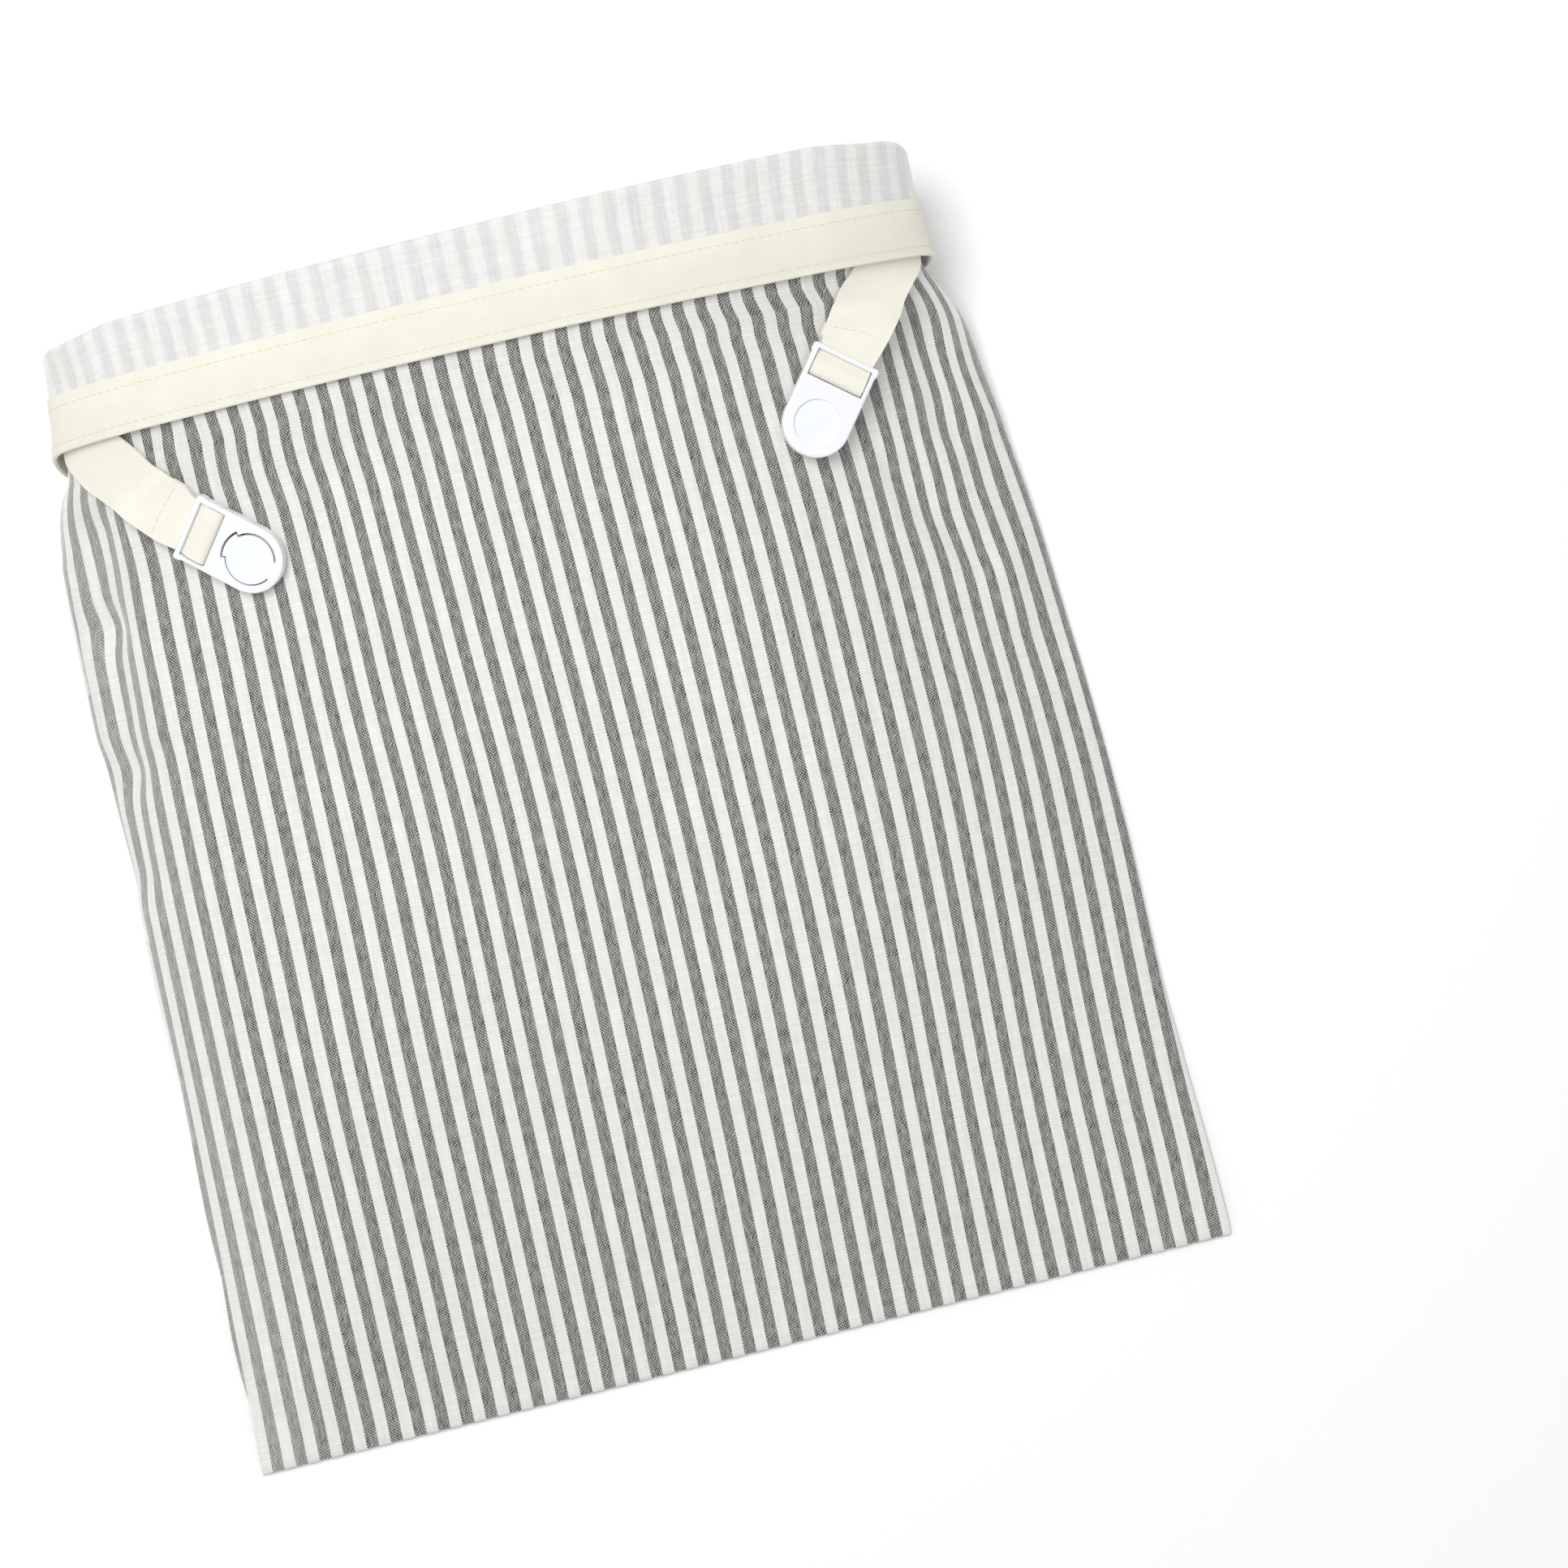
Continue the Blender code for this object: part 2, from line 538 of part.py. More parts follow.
def ring_slit():
    inner, outer = [], []
    for k, part in enumerate(SLIT):
        steps = max(4, round((part.end - part.start) / 10))
        raised = part.inner > SLIT[0].inner + 1
        inner_ends = (part.start + 4, part.end - 4) if raised else (part.start, part.end)
        outer_ends = (part.start if raised or k == 0 else part.start + 4,
                      part.end if raised or k == len(SLIT) - 1 else part.end - 4)
        inner += arc_points(DISC_AT, 0, part.inner, *inner_ends, steps)
        outer += arc_points(DISC_AT, 0, part.outer, *outer_ends, steps)
    return prism("disc_slit", inner + outer[::-1], -1, 6)


def recess():
    return prism("round_recess", arc_points(DISC_AT, 0, RECESS_RADIUS, 0, 350, 35),
                 BUCKLE_THICK - RECESS_DEPTH, 6)


def main():
    for obj in list(bpy.data.objects):
        bpy.data.objects.remove(obj, do_unlink=True)
    linen = make_material("striped_linen", (0.62, 0.63, 0.61), 0.92)
    binding_tape = make_material("binding_tape", (0.90, 0.88, 0.78), 0.90)
    strap_tape = make_material("strap_tape", (0.90, 0.87, 0.77), 0.90)
    plastic = make_material("white_moulding", (0.92, 0.92, 0.93), 0.35)
    build_body(linen)
    build_binding(binding_tape)
    left_seat = buckle_seat(LIE_LEFT)
    right_seat = buckle_seat(LIE_RIGHT)
    build_strap("strap_left", STRAP_LEFT, left_seat, strap_tape)
    build_strap("strap_right", STRAP_RIGHT, right_seat, strap_tape)
    build_buckle("buckle_left", left_seat, [ring_slit()], plastic)
    build_buckle("buckle_right", right_seat, [recess()], plastic)


main()
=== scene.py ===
import math
from collections import namedtuple

import bpy
import numpy as np
from mathutils import Matrix


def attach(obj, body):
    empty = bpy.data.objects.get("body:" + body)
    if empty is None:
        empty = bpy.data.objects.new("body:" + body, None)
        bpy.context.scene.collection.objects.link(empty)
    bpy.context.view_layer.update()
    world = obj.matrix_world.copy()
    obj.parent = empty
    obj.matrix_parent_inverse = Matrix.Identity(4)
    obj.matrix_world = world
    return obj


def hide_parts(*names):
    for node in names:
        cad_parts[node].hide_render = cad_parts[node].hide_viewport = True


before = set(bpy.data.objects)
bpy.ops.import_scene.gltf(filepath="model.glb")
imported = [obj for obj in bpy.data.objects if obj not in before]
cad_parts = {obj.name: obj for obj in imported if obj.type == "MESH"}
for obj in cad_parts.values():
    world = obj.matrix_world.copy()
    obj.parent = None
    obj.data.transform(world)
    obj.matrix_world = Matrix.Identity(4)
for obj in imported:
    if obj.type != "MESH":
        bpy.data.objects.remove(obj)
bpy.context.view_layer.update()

# ---------------------------------------------------------------------- the linen body
# One piece of yarn-dyed striped linen, plain woven and washed soft. It is folded in half at the
# bag's left side and sewn along its right side and its bottom. The mouth is turned down
# outwards, so that the cuff shows the cloth's paler wrong side.

MM = 0.001
MIDDLE_X = -0.4          # from the cloth's own millimetres to the middle of the bag
MIDDLE_Y = 198.65
FLAT_WIDTH = 350.6       # the empty bag, from its side fold to its side seam
AROUND = 2 * FLAT_WIDTH
CLOTH = 0.6              # the cloth's thickness
TURN_RATIO = 1.5         # how far each flank turns under, to its rise off the table
TURN_WIDEST = 30.0
LEFT_CURVE = 2.0         # how full each flank is in section
RIGHT_CURVE = 1.5

FOLD_Y = 397.3           # the mouth's fold, over the crown
FOLD_SHOULDER = 2.0      # and how much lower it lies at the shoulders
FOLD_UNDER = 4.7         # and underneath
EDGE_Y = 358.0           # the cuff's free edge, over the crown
EDGE_SLOPE = -0.0165     # how it slopes from left to right
EDGE_BACK_Y = 352.5      # and where it lies underneath
CUFF_GAP = 3.0           # from the body to the cuff, between the middles of the cloth
STRAP_ROOM = 1.9         # more room under the cuff where the straps start
CUFF_END = 1.6           # from the binding's fold to the raw edge inside it

# Cross-sections of the bag as it lies open, from its bottom seam to its mouth.
Section = namedtuple("Section", "y left left_rise left_run left_round right right_rise right_run"
                                " right_round crown back left_roll right_roll")
SECTIONS = [
    Section(0, -175.2, 1.0, 4, 0.50, 174.4, 1.0, 4, 0.50, 2.5, 0.5, 0.0, 0.0),
    Section(12, -175.0, 1.5, 26, 0.80, 174.4, 1.5, 45, 0.80, 5.0, 0.5, 0.4, 0.2),
    Section(29, -174.6, 1.8, 40, 0.80, 174.4, 1.7, 80, 0.90, 9.5, 0.5, 1.2, 0.4),
    Section(57, -173.5, 2.4, 60, 0.78, 174.1, 1.8, 100, 0.95, 17.0, 0.5, 3.0, 0.8),
    Section(86, -172.4, 3.2, 72, 0.74, 174.0, 1.9, 107, 1.00, 24.0, 0.5, 5.0, 1.4),
    Section(114, -171.5, 4.0, 84, 0.70, 173.9, 2.0, 110, 1.00, 30.5, 0.5, 7.0, 2.2),
    Section(143, -170.6, 4.6, 96, 0.68, 173.8, 2.1, 110, 1.00, 36.0, 0.5, 9.0, 3.0),
    Section(171, -169.8, 5.2, 108, 0.66, 173.7, 2.2, 108, 1.00, 40.5, 0.5, 11.0, 3.5),
    Section(200, -169.0, 6.0, 118, 0.65, 173.0, 2.6, 108, 1.00, 45.0, 0.5, 13.0, 3.8),
    Section(229, -168.1, 6.8, 128, 0.64, 171.6, 3.2, 108, 0.98, 49.5, 0.5, 14.5, 4.0),
    Section(257, -167.4, 7.6, 136, 0.64, 170.1, 4.0, 110, 0.95, 54.0, 0.5, 16.0, 4.0),
    Section(286, -166.6, 8.4, 142, 0.64, 167.4, 5.0, 113, 0.92, 59.5, 0.5, 17.0, 4.2),
    Section(314, -165.6, 9.5, 148, 0.64, 164.1, 7.0, 118, 0.86, 66.0, 0.5, 17.0, 4.6),
    Section(334, -163.2, 14.0, 150, 0.61, 161.0, 11.0, 122, 0.80, 71.5, 1.4, 15.0, 5.2),
    Section(345, -158.6, 21.5, 148, 0.57, 155.6, 20.5, 124, 0.73, 76.0, 3.6, 13.0, 7.0),
    Section(352, -153.2, 28.5, 146, 0.54, 151.2, 28.5, 124, 0.67, 79.0, 5.2, 9.0, 9.0),
    Section(360, -150.3, 34.5, 143, 0.52, 149.2, 35.0, 122, 0.61, 82.5, 5.3, 5.0, 12.0),
    Section(372, -147.2, 39.5, 140, 0.51, 148.6, 40.0, 121, 0.56, 86.5, 5.3, 0.0, 15.0),
    Section(398, -144.8, 43.0, 138, 0.50, 149.4, 43.0, 120, 0.54, 91.0, 5.3, -4.0, 17.0),
]

# Main folds: across is counted along the front from the side seam, and up from the bottom.
Fold = namedtuple("Fold", "across_from up_from across_to up_to width height")
FOLDS = [
    Fold(339, 332, 347, 300, 8.5, -3.4),      # crease inside the left roll, upper end
    Fold(347, 300, 352, 250, 8.5, -3.4),      # its middle
    Fold(352, 250, 356, 215, 8.5, -2.4),      # and its lower end
    Fold(360, 322, 363, 265, 7.5, 1.6),       # the roll outside it
    Fold(322, 330, 333, 262, 9.5, 1.8),       # the cloth standing up inside it
    Fold(55, 284, 32, 255, 9.0, -3.2),        # dent low on the right flank
    Fold(34, 290, 22, 232, 8.0, 1.4),         # ridge beside the dent
    Fold(20, 340, 14, 300, 7.5, 1.8),         # pull line under the right strap
    Fold(32, 334, 29, 296, 7.5, -1.8),        # and the hollow beside it
]


def table_value(name, y):
    """Reads one column of SECTIONS at any y, on a smooth curve that makes no new bumps."""
    ys = [row.y for row in SECTIONS]
    values = [getattr(row, name) for row in SECTIONS]
    steps = [(values[i + 1] - values[i]) / (ys[i + 1] - ys[i]) for i in range(len(ys) - 1)]
    slopes = [steps[0]]
    for before, after in zip(steps, steps[1:]):
        slopes.append(2 * before * after / (before + after) if before * after > 0 else 0.0)
    slopes.append(steps[-1])
    i = max(k for k in range(len(ys) - 1) if ys[k] <= y)
    span = ys[i + 1] - ys[i]
    t = (y - ys[i]) / span
    return ((2 * t**3 - 3 * t**2 + 1) * values[i] + (t**3 - 2 * t**2 + t) * span * slopes[i]
            + (3 * t**2 - 2 * t**3) * values[i + 1] + (t**3 - t**2) * span * slopes[i + 1])


def flank(inward, curve, roundness):
    """The rise of a flank, from 0 at the bag's side to 1 where it meets the crown."""
    return (1 - (1 - np.clip(inward, 0, 1)) ** curve) ** roundness


def section(y):
    """Points of the section at y, their outward normals and their cloth measure."""
    row = Section(y, *[table_value(name, y) for name in Section._fields[1:]])
    meet = (row.left + row.left_run + row.right - row.right_run) / 2
    inward = np.linspace(0, 1, 240) ** 2
    x_right = row.right - (row.right - meet) * inward
    x_left = row.left + (meet - row.left) * inward
    low_right, low_left = row.back + row.right_rise, row.back + row.left_rise
    z_right = low_right + (row.crown - low_right) * flank(
        (row.right - x_right) / row.right_run, RIGHT_CURVE, row.right_round)
    z_left = low_left + (row.crown - low_left) * flank(
        (x_left - row.left) / row.left_run, LEFT_CURVE, row.left_round)
    front = np.vstack([np.column_stack([x_right, z_right]),
                       np.column_stack([x_left, z_left])[::-1][1:]])
    angle = np.linspace(0, math.pi / 2, 24)
    left_turn = min(TURN_RATIO * row.left_rise, TURN_WIDEST)
    right_turn = min(TURN_RATIO * row.right_rise, TURN_WIDEST)
    under_left = np.column_stack([row.left + left_turn * (1 - np.cos(angle)),
                                  low_left - row.left_rise * np.sin(angle)])
    under_right = np.column_stack([row.right - right_turn * (1 - np.cos(angle)),
                                   low_right - row.right_rise * np.sin(angle)])[::-1]
    points = np.vstack([front, under_left[1:], under_right])
    steps = np.linalg.norm(np.diff(points, axis=0), axis=1)
    arc = np.concatenate([[0.0], np.cumsum(steps)])
    front_arc = arc[len(front) - 1]
    across_left = FLAT_WIDTH + row.left_roll
    measure = np.where(arc <= front_arc,
                       row.right_roll + arc / front_arc * (across_left - row.right_roll),
                       across_left + (arc - front_arc) / (arc[-1] - front_arc)
                       * (AROUND + row.right_roll - across_left))
    tangent = np.gradient(points, axis=0)
    tangent /= np.maximum(np.linalg.norm(tangent, axis=1), 1e-9)[:, None]
    normal = np.column_stack([tangent[:, 1], -tangent[:, 0]])
    side = normal[1] + normal[-2]
    normal[0] = normal[-1] = side / np.linalg.norm(side)
    return points, normal, measure


# The whole surface on a grid of the cloth's own measures, a millimetre or so apart.
GRID_ROWS = 399
GRID_COLUMNS = 701
surface_grid = np.zeros((GRID_ROWS, GRID_COLUMNS + 1, 4))
for grid_y in range(GRID_ROWS):
    ring_points, ring_normals, ring_measure = section(float(grid_y))
    wanted = np.arange(GRID_COLUMNS + 1) * AROUND / GRID_COLUMNS
    wanted = np.where(wanted < ring_measure[0], wanted + AROUND, wanted)
    for axis in (0, 1):
        surface_grid[grid_y, :, axis] = np.interp(wanted, ring_measure, ring_points[:, axis])
        surface_grid[grid_y, :, 2 + axis] = np.interp(wanted, ring_measure, ring_normals[:, axis])


def fold_height(across, up):
    """How far the folds push the cloth outwards."""
    total = np.zeros(np.shape(across))
    for fold in FOLDS:
        along_x, along_y = fold.across_to - fold.across_from, fold.up_to - fold.up_from
        length = math.hypot(along_x, along_y)
        share = ((across - fold.across_from) * along_x + (up - fold.up_from) * along_y) / length**2
        held = np.clip(share, 0, 1)
        off = np.hypot(across - fold.across_from - held * along_x,
                       up - fold.up_from - held * along_y)
        past = np.maximum(np.maximum(-share, share - 1), 0) * length
        total = total + fold.height * np.exp(-(off / fold.width) ** 2 - (past / 16.0) ** 2)
    return total


def over_cloth(across, up, lift=0.0, folds=True):
    """Points over the middle of the cloth, in the bag's millimetres, lift outwards."""
    across, up, lift = np.broadcast_arrays(np.asarray(across, float), up, lift)
    row = np.clip(up, 0, GRID_ROWS - 1.001)
    column = (across % AROUND) / AROUND * GRID_COLUMNS
    i, j = row.astype(int), np.minimum(column.astype(int), GRID_COLUMNS - 1)
    s, t = (row - i)[..., None], (column - j)[..., None]
    near = (1 - s) * surface_grid[i, j] + s * surface_grid[i + 1, j]
    far = (1 - s) * surface_grid[i, j + 1] + s * surface_grid[i + 1, j + 1]
    found = (1 - t) * near + t * far
    length = np.hypot(found[..., 2], found[..., 3])
    push = lift + (fold_height(across, up) if folds else 0.0)
    return np.stack([found[..., 0] + found[..., 2] / length * push, up * 1.0,
                     found[..., 1] + found[..., 3] / length * push], axis=-1)


def smoothstep(value, low, high):
    """A smooth change from 0 at low to 1 at high."""
    t = np.clip((value - low) / (high - low), 0.0, 1.0)
    return t * t * (3 - 2 * t)


def mouth_at(across):
    """Where the mouth's fold and the cuff's free edge lie, and the cuff's gap."""
    at = over_cloth(across, 380.0, folds=False)
    x, z = at[..., 0], at[..., 2]
    upper = smoothstep(z, 15, 50)
    fold = (FOLD_Y - FOLD_SHOULDER * smoothstep(abs(x), 118, 140)
            - FOLD_UNDER * (1 - smoothstep(z, 40, 56)))
    edge = upper * (EDGE_Y + EDGE_SLOPE * x) + (1 - upper) * EDGE_BACK_Y
    gap = CUFF_GAP + STRAP_ROOM * np.maximum(smoothstep(abs(x), 118, 132),
                                             smoothstep(abs(x), 100, 128) * smoothstep(z, 2, 20))
    return fold, edge, gap


def in_metres(points):
    """The cloth's own millimetres as metres from the middle of the bag."""
    return (np.asarray(points) - np.array([MIDDLE_X, MIDDLE_Y, 0.0])) * MM


def add_sheet(name, rows, measures, ring, thickness, materials, closed_start=False):
    """A cloth sheet from rows of points, with its own measures as UV, given its thickness."""
    rows = np.array(rows)
    count = rows.shape[1]
    faces, corners = [], []
    for r in range(len(rows) - 1):
        for k in range(count if ring else count - 1):
            after = (k + 1) % count
            faces.append((r * count + k, (r + 1) * count + k,
                          (r + 1) * count + after, r * count + after))
            past = np.array([AROUND if ring and after == 0 else 0, 0])
            corners += [measures[r][k], measures[r + 1][k], measures[r + 1][after] + past,
                        measures[r][after] + past]
    if closed_start:
        faces.append(tuple(range(count)))
        corners += list(measures[0])
    mesh = bpy.data.meshes.new(name)
    mesh.from_pydata(in_metres(rows.reshape(-1, 3)).tolist(), [], faces)
    layer = mesh.uv_layers.new(name="measure")
    layer.data.foreach_set("uv", (np.array(corners) * MM).ravel())
    piece = bpy.data.objects.new(name, mesh)
    bpy.context.scene.collection.objects.link(piece)
    for material in materials:
        mesh.materials.append(material)
    bpy.ops.object.select_all(action="DESELECT")
    bpy.context.view_layer.objects.active = piece
    piece.select_set(True)
    solid = piece.modifiers.new("Thickness", "SOLIDIFY")
    solid.thickness = thickness * MM
    solid.offset = 0.0
    solid.use_even_offset = True
    solid.use_quality_normals = True
    solid.material_offset = len(materials) - 1
    bpy.ops.object.modifier_apply(modifier=solid.name)
    bpy.ops.object.shade_smooth_by_angle(angle=math.radians(50))
    return piece


def linear(hex_colour):
    """An sRGB hex colour as the linear values that a shader takes."""
    values = [int(hex_colour[i:i + 2], 16) / 255 for i in (1, 3, 5)]
    return (*[v / 12.92 if v <= 0.04045 else ((v + 0.055) / 1.055) ** 2.4 for v in values], 1.0)


def add_node(tree, kind, values=None, links=None, **settings):
    """Adds one node with its settings, its sockets' values and its links."""
    made = tree.nodes.new(kind)
    for name, value in settings.items():
        setattr(made, name, value)
    for socket, value in (values or {}).items():
        made.inputs[socket].default_value = value
    for socket, source in (links or {}).items():
        tree.links.new(source, made.inputs[socket])
    return made


STRIPE_PITCH = 8.5       # one grey and one white stripe
FIRST_STRIPE = 4.5       # the first grey stripe's middle, from the side seam
YARN = 0.55              # the real yarns are 0.42 mm apart, drawn coarser so that they show


def woven_linen(name, white, grey, edge, show):
    """Plain-woven linen: white weft, and a warp of white and grey yarns in even stripes.

    The weft gives a fine grain of light specks on the grey stripes. Washing has cleared the grey
    in short uneven streaks along the yarns. Towards the bag's left side the grey is faded further,
    as painted pale sheen on the steep flank. The loose matt fibre scatters light with a pale sheen
    at the flanks."""
    material = bpy.data.materials.new(name)
    material.use_nodes = True
    tree = material.node_tree
    shader = tree.nodes["Principled BSDF"]
    shader.inputs["Roughness"].default_value = 0.92
    shader.inputs["Sheen Weight"].default_value = 1.0
    shader.inputs["Sheen Roughness"].default_value = 0.4
    shader.inputs["Specular IOR Level"].default_value = 0.25
    measure = add_node(tree, "ShaderNodeUVMap", uv_map="measure").outputs[0]
    split = add_node(tree, "ShaderNodeSeparateXYZ", links={0: measure})
    across, up = split.outputs[0], split.outputs[1]

    # crowns of the yarns: positive where the weft is on top, negative where the warp is; soft
    # linen yarns waver a little to the sides, every 2.4 mm or so. Noise scales count features
    # to a metre, and a Map Range takes sockets 1 to 2 to sockets 3 to 4
    waver = add_node(tree, "ShaderNodeTexNoise", {"Scale": 420.0, "Detail": 1.0},
                     {0: measure}).outputs[0]
    waver = add_node(tree, "ShaderNodeMapRange", {1: 0.3, 2: 0.7, 3: -1.1, 4: 1.1},
                     {0: waver}, clamp=False).outputs[0]
    warp_turn = add_node(tree, "ShaderNodeMath", {1: math.pi / (YARN * MM)},
                         {0: across, 2: waver}, operation="MULTIPLY_ADD").outputs[0]
    weft_turn = add_node(tree, "ShaderNodeMath", {1: math.pi / (YARN * MM)},
                         {0: up, 2: waver}, operation="MULTIPLY_ADD").outputs[0]
    warp_wave = add_node(tree, "ShaderNodeMath", links={0: warp_turn}, operation="SINE").outputs[0]
    weft_wave = add_node(tree, "ShaderNodeMath", links={0: weft_turn}, operation="SINE").outputs[0]
    crown = add_node(tree, "ShaderNodeMath", links={0: warp_wave, 1: weft_wave},
                     operation="MULTIPLY").outputs[0]
    weft_shows = add_node(tree, "ShaderNodeMapRange", {1: 0.1, 2: 0.9, 4: 0.9}, {0: crown},
                          interpolation_type="SMOOTHSTEP").outputs[0]
    height = add_node(tree, "ShaderNodeMath", links={0: crown}, operation="ABSOLUTE").outputs[0]

    # slubs, the thick and thin places: two yarns wide and about 17 mm long
    warp_map = add_node(tree, "ShaderNodeMapping", {"Scale": (900, 60, 1)}, {0: measure})
    warp_slub = add_node(tree, "ShaderNodeTexNoise", {"Scale": 1.0, "Detail": 2.0},
                         {0: warp_map.outputs[0]}).outputs[0]
    weft_map = add_node(tree, "ShaderNodeMapping", {"Scale": (60, 900, 1)}, {0: measure})
    weft_slub = add_node(tree, "ShaderNodeTexNoise", {"Scale": 1.0, "Detail": 2.0},
                         {0: weft_map.outputs[0]}).outputs[0]

    # the stripes, with edges on the yarns
    from_stripe = add_node(tree, "ShaderNodeMath", {1: (FIRST_STRIPE + STRIPE_PITCH / 2) * MM},
                           {0: across}, operation="SUBTRACT").outputs[0]
    for operation, values in (("DIVIDE", {1: STRIPE_PITCH * MM}), ("FRACT", {}),
                              ("SUBTRACT", {1: 0.5}), ("ABSOLUTE", {})):
        from_stripe = add_node(tree, "ShaderNodeMath", values, {0: from_stripe},
                               operation=operation).outputs[0]
    stripe = add_node(tree, "ShaderNodeMapRange", {1: 0.25 + edge, 2: 0.25 - edge},
                      {0: from_stripe}, interpolation_type="SMOOTHSTEP").outputs[0]

    # the grey is cleared in streaks about 1 mm wide and 5 mm long, and faded towards the left fold
    # as painted pale sheen on that flank
    clear_map = add_node(tree, "ShaderNodeMapping", {"Scale": (950, 210, 1)}, {0: measure})
    cleared = add_node(tree, "ShaderNodeTexNoise", {"Scale": 1.0, "Detail": 2.0, "Roughness": 0.7},
                       {0: clear_map.outputs[0]}).outputs[0]
    washed = add_node(tree, "ShaderNodeMapRange", {1: 0.34, 2: 0.66, 3: 0.74 * show, 4: show},
                      {0: cleared}).outputs[0]
    # painted sheen: from 316 mm to 344 mm across, the stripes' grey weakens to 0.83 and stays so
    # round the back
    painted_pale_sheen = add_node(tree, "ShaderNodeMapRange", {1: 316 * MM, 2: 344 * MM, 3: 1.0, 4: 0.83},
                      {0: across}, interpolation_type="SMOOTHSTEP").outputs[0]
    for fading in (washed, painted_pale_sheen):
        stripe = add_node(tree, "ShaderNodeMath", links={0: stripe, 1: fading},
                          operation="MULTIPLY").outputs[0]

    # colours: the warp in its stripes, the white weft over it, and a shade in the gaps
    warp = add_node(tree, "ShaderNodeMix", {6: linear(white), 7: linear(grey)}, {0: stripe},
                    data_type="RGBA").outputs[2]
    cloth = add_node(tree, "ShaderNodeMix", {7: linear(white)}, {0: weft_shows, 6: warp},
                     data_type="RGBA").outputs[2]
    streak = add_node(tree, "ShaderNodeMath", links={0: warp_slub, 1: weft_slub},
                      operation="ADD").outputs[0]
    streak = add_node(tree, "ShaderNodeMapRange", {1: 0.7, 2: 1.3, 3: 0.91, 4: 1.05},
                      {0: streak}).outputs[0]
    gap_shade = add_node(tree, "ShaderNodeMapRange", {1: 0.0, 2: 0.35, 3: 0.94, 4: 1.0},
                         {0: height}).outputs[0]
    shade = add_node(tree, "ShaderNodeMath", links={0: streak, 1: gap_shade},
                     operation="MULTIPLY").outputs[0]
    cloth = add_node(tree, "ShaderNodeVectorMath", links={0: cloth, "Scale": shade},
                     operation="SCALE").outputs[0]
    tree.links.new(cloth, shader.inputs["Base Color"])
    slubbed = add_node(tree, "ShaderNodeMath", links={0: height, 1: streak},
                       operation="MULTIPLY").outputs[0]
    bump = add_node(tree, "ShaderNodeBump", {"Strength": 0.5, "Distance": 0.12 * MM},
                    {"Height": slubbed})
    tree.links.new(bump.outputs[0], shader.inputs["Normal"])
    return material


# The stripes' edges are sharp on the right side. On the wrong side they are soft and pale.
linen_right_side = woven_linen("linen_right_side", "#ebebe6", "#3d3e3c", edge=0.012, show=1.0)
linen_wrong_side = woven_linen("linen_wrong_side", "#e9e9e6", "#c9cbcc", edge=0.11, show=0.62)

# How far washing has drawn the stripes sideways, at points along and up the front. The last
# rows, past the mouth's fold, lie on the cuff.
SWAY_ACROSS = (10, 30, 52, 75, 100, 150, 180, 220, 258, 288, 325, 345)
Sway = namedtuple("Sway", ["up"] + [f"at_{across}" for across in SWAY_ACROSS])
SWAYS = [
    Sway(2, 0.2, 0.3, 0.5, 0.8, 1.0, 1.2, 1.1, 1.2, 0.9, 0.6, -0.1, -0.1),
    Sway(30, 0.4, 0.3, 0.2, 0.7, 1.4, 1.7, 1.7, 1.6, 1.2, 0.8, 0.6, 0.4),
    Sway(60, 0.2, -0.2, -0.1, 0.6, 1.7, 2.0, 1.8, 1.5, 1.1, 0.8, 0.2, -0.6),
    Sway(100, 0.2, -0.4, -0.1, 0.6, 1.4, 1.4, 1.3, 1.1, 0.8, 0.4, -0.6, -1.4),
    Sway(125, 0.6, -0.3, -0.3, 0.3, 0.8, 0.7, 0.7, 0.7, 0.6, 0.1, -1.1, -1.9),
    Sway(150, 0.7, -0.3, -0.3, -0.1, -0.2, -0.2, -0.2, 0.2, 0.4, -0.2, -2.0, -2.7),
    Sway(175, 0.5, -0.3, -0.3, -0.6, -1.4, -1.2, -1.2, -0.4, 0.2, -0.4, -2.9, -3.6),
    Sway(200, 0.0, -0.6, -0.2, -1.0, -2.2, -2.1, -1.9, -0.8, 0.1, -0.7, -3.7, -4.5),
    Sway(225, -0.3, -1.2, -0.9, -1.1, -2.5, -2.5, -2.4, -1.5, -0.3, -0.7, -3.9, -4.7),
    Sway(250, -0.3, -1.2, -0.8, -1.2, -2.5, -3.0, -3.1, -2.6, -1.2, -0.6, -3.9, -4.8),
    Sway(265, -0.5, -1.9, -0.8, -1.2, -2.5, -3.1, -3.3, -2.8, -1.0, -0.2, -3.3, -3.8),
    Sway(280, -0.7, -2.3, 0.0, -0.9, -2.4, -2.9, -3.0, -2.6, -0.3, 0.5, -2.6, -3.4),
    Sway(295, -1.2, -1.5, 0.1, -0.8, -2.5, -2.6, -2.6, -2.1, 0.7, 1.5, -1.6, -2.5),
    Sway(315, -2.2, 0.4, 0.8, -0.8, -2.6, -1.9, -1.9, -1.1, 1.7, 2.6, 0.9, -0.9),
    Sway(330, -1.0, 1.3, 1.7, -0.4, -1.9, -0.9, -1.0, -0.3, 1.7, 2.7, 1.0, 1.0),
    Sway(342, 0.5, 3.2, 4.5, 2.5, 1.1, 1.2, 0.3, -0.4, 0.2, 1.3, 0.1, 1.5),
    Sway(352, 1.8, 3.8, 7.2, 5.2, 3.7, 2.8, 1.1, -0.8, -0.9, -0.6, -0.2, 1.0),
    Sway(366, 3.6, 4.6, 10.0, 8.0, 6.4, 4.5, 2.0, -0.6, -0.3, 0.2, 0.0, 1.0),
    Sway(400, -2.0, -1.1, -0.5, 0.5, 0.8, 1.2, -0.1, -0.6, 1.2, 3.3, 6.6, 9.0),
    Sway(416, -2.0, -1.1, 0.1, 1.1, 1.4, 1.5, 0.5, -0.7, 0.2, 1.8, 5.3, 9.0),
]

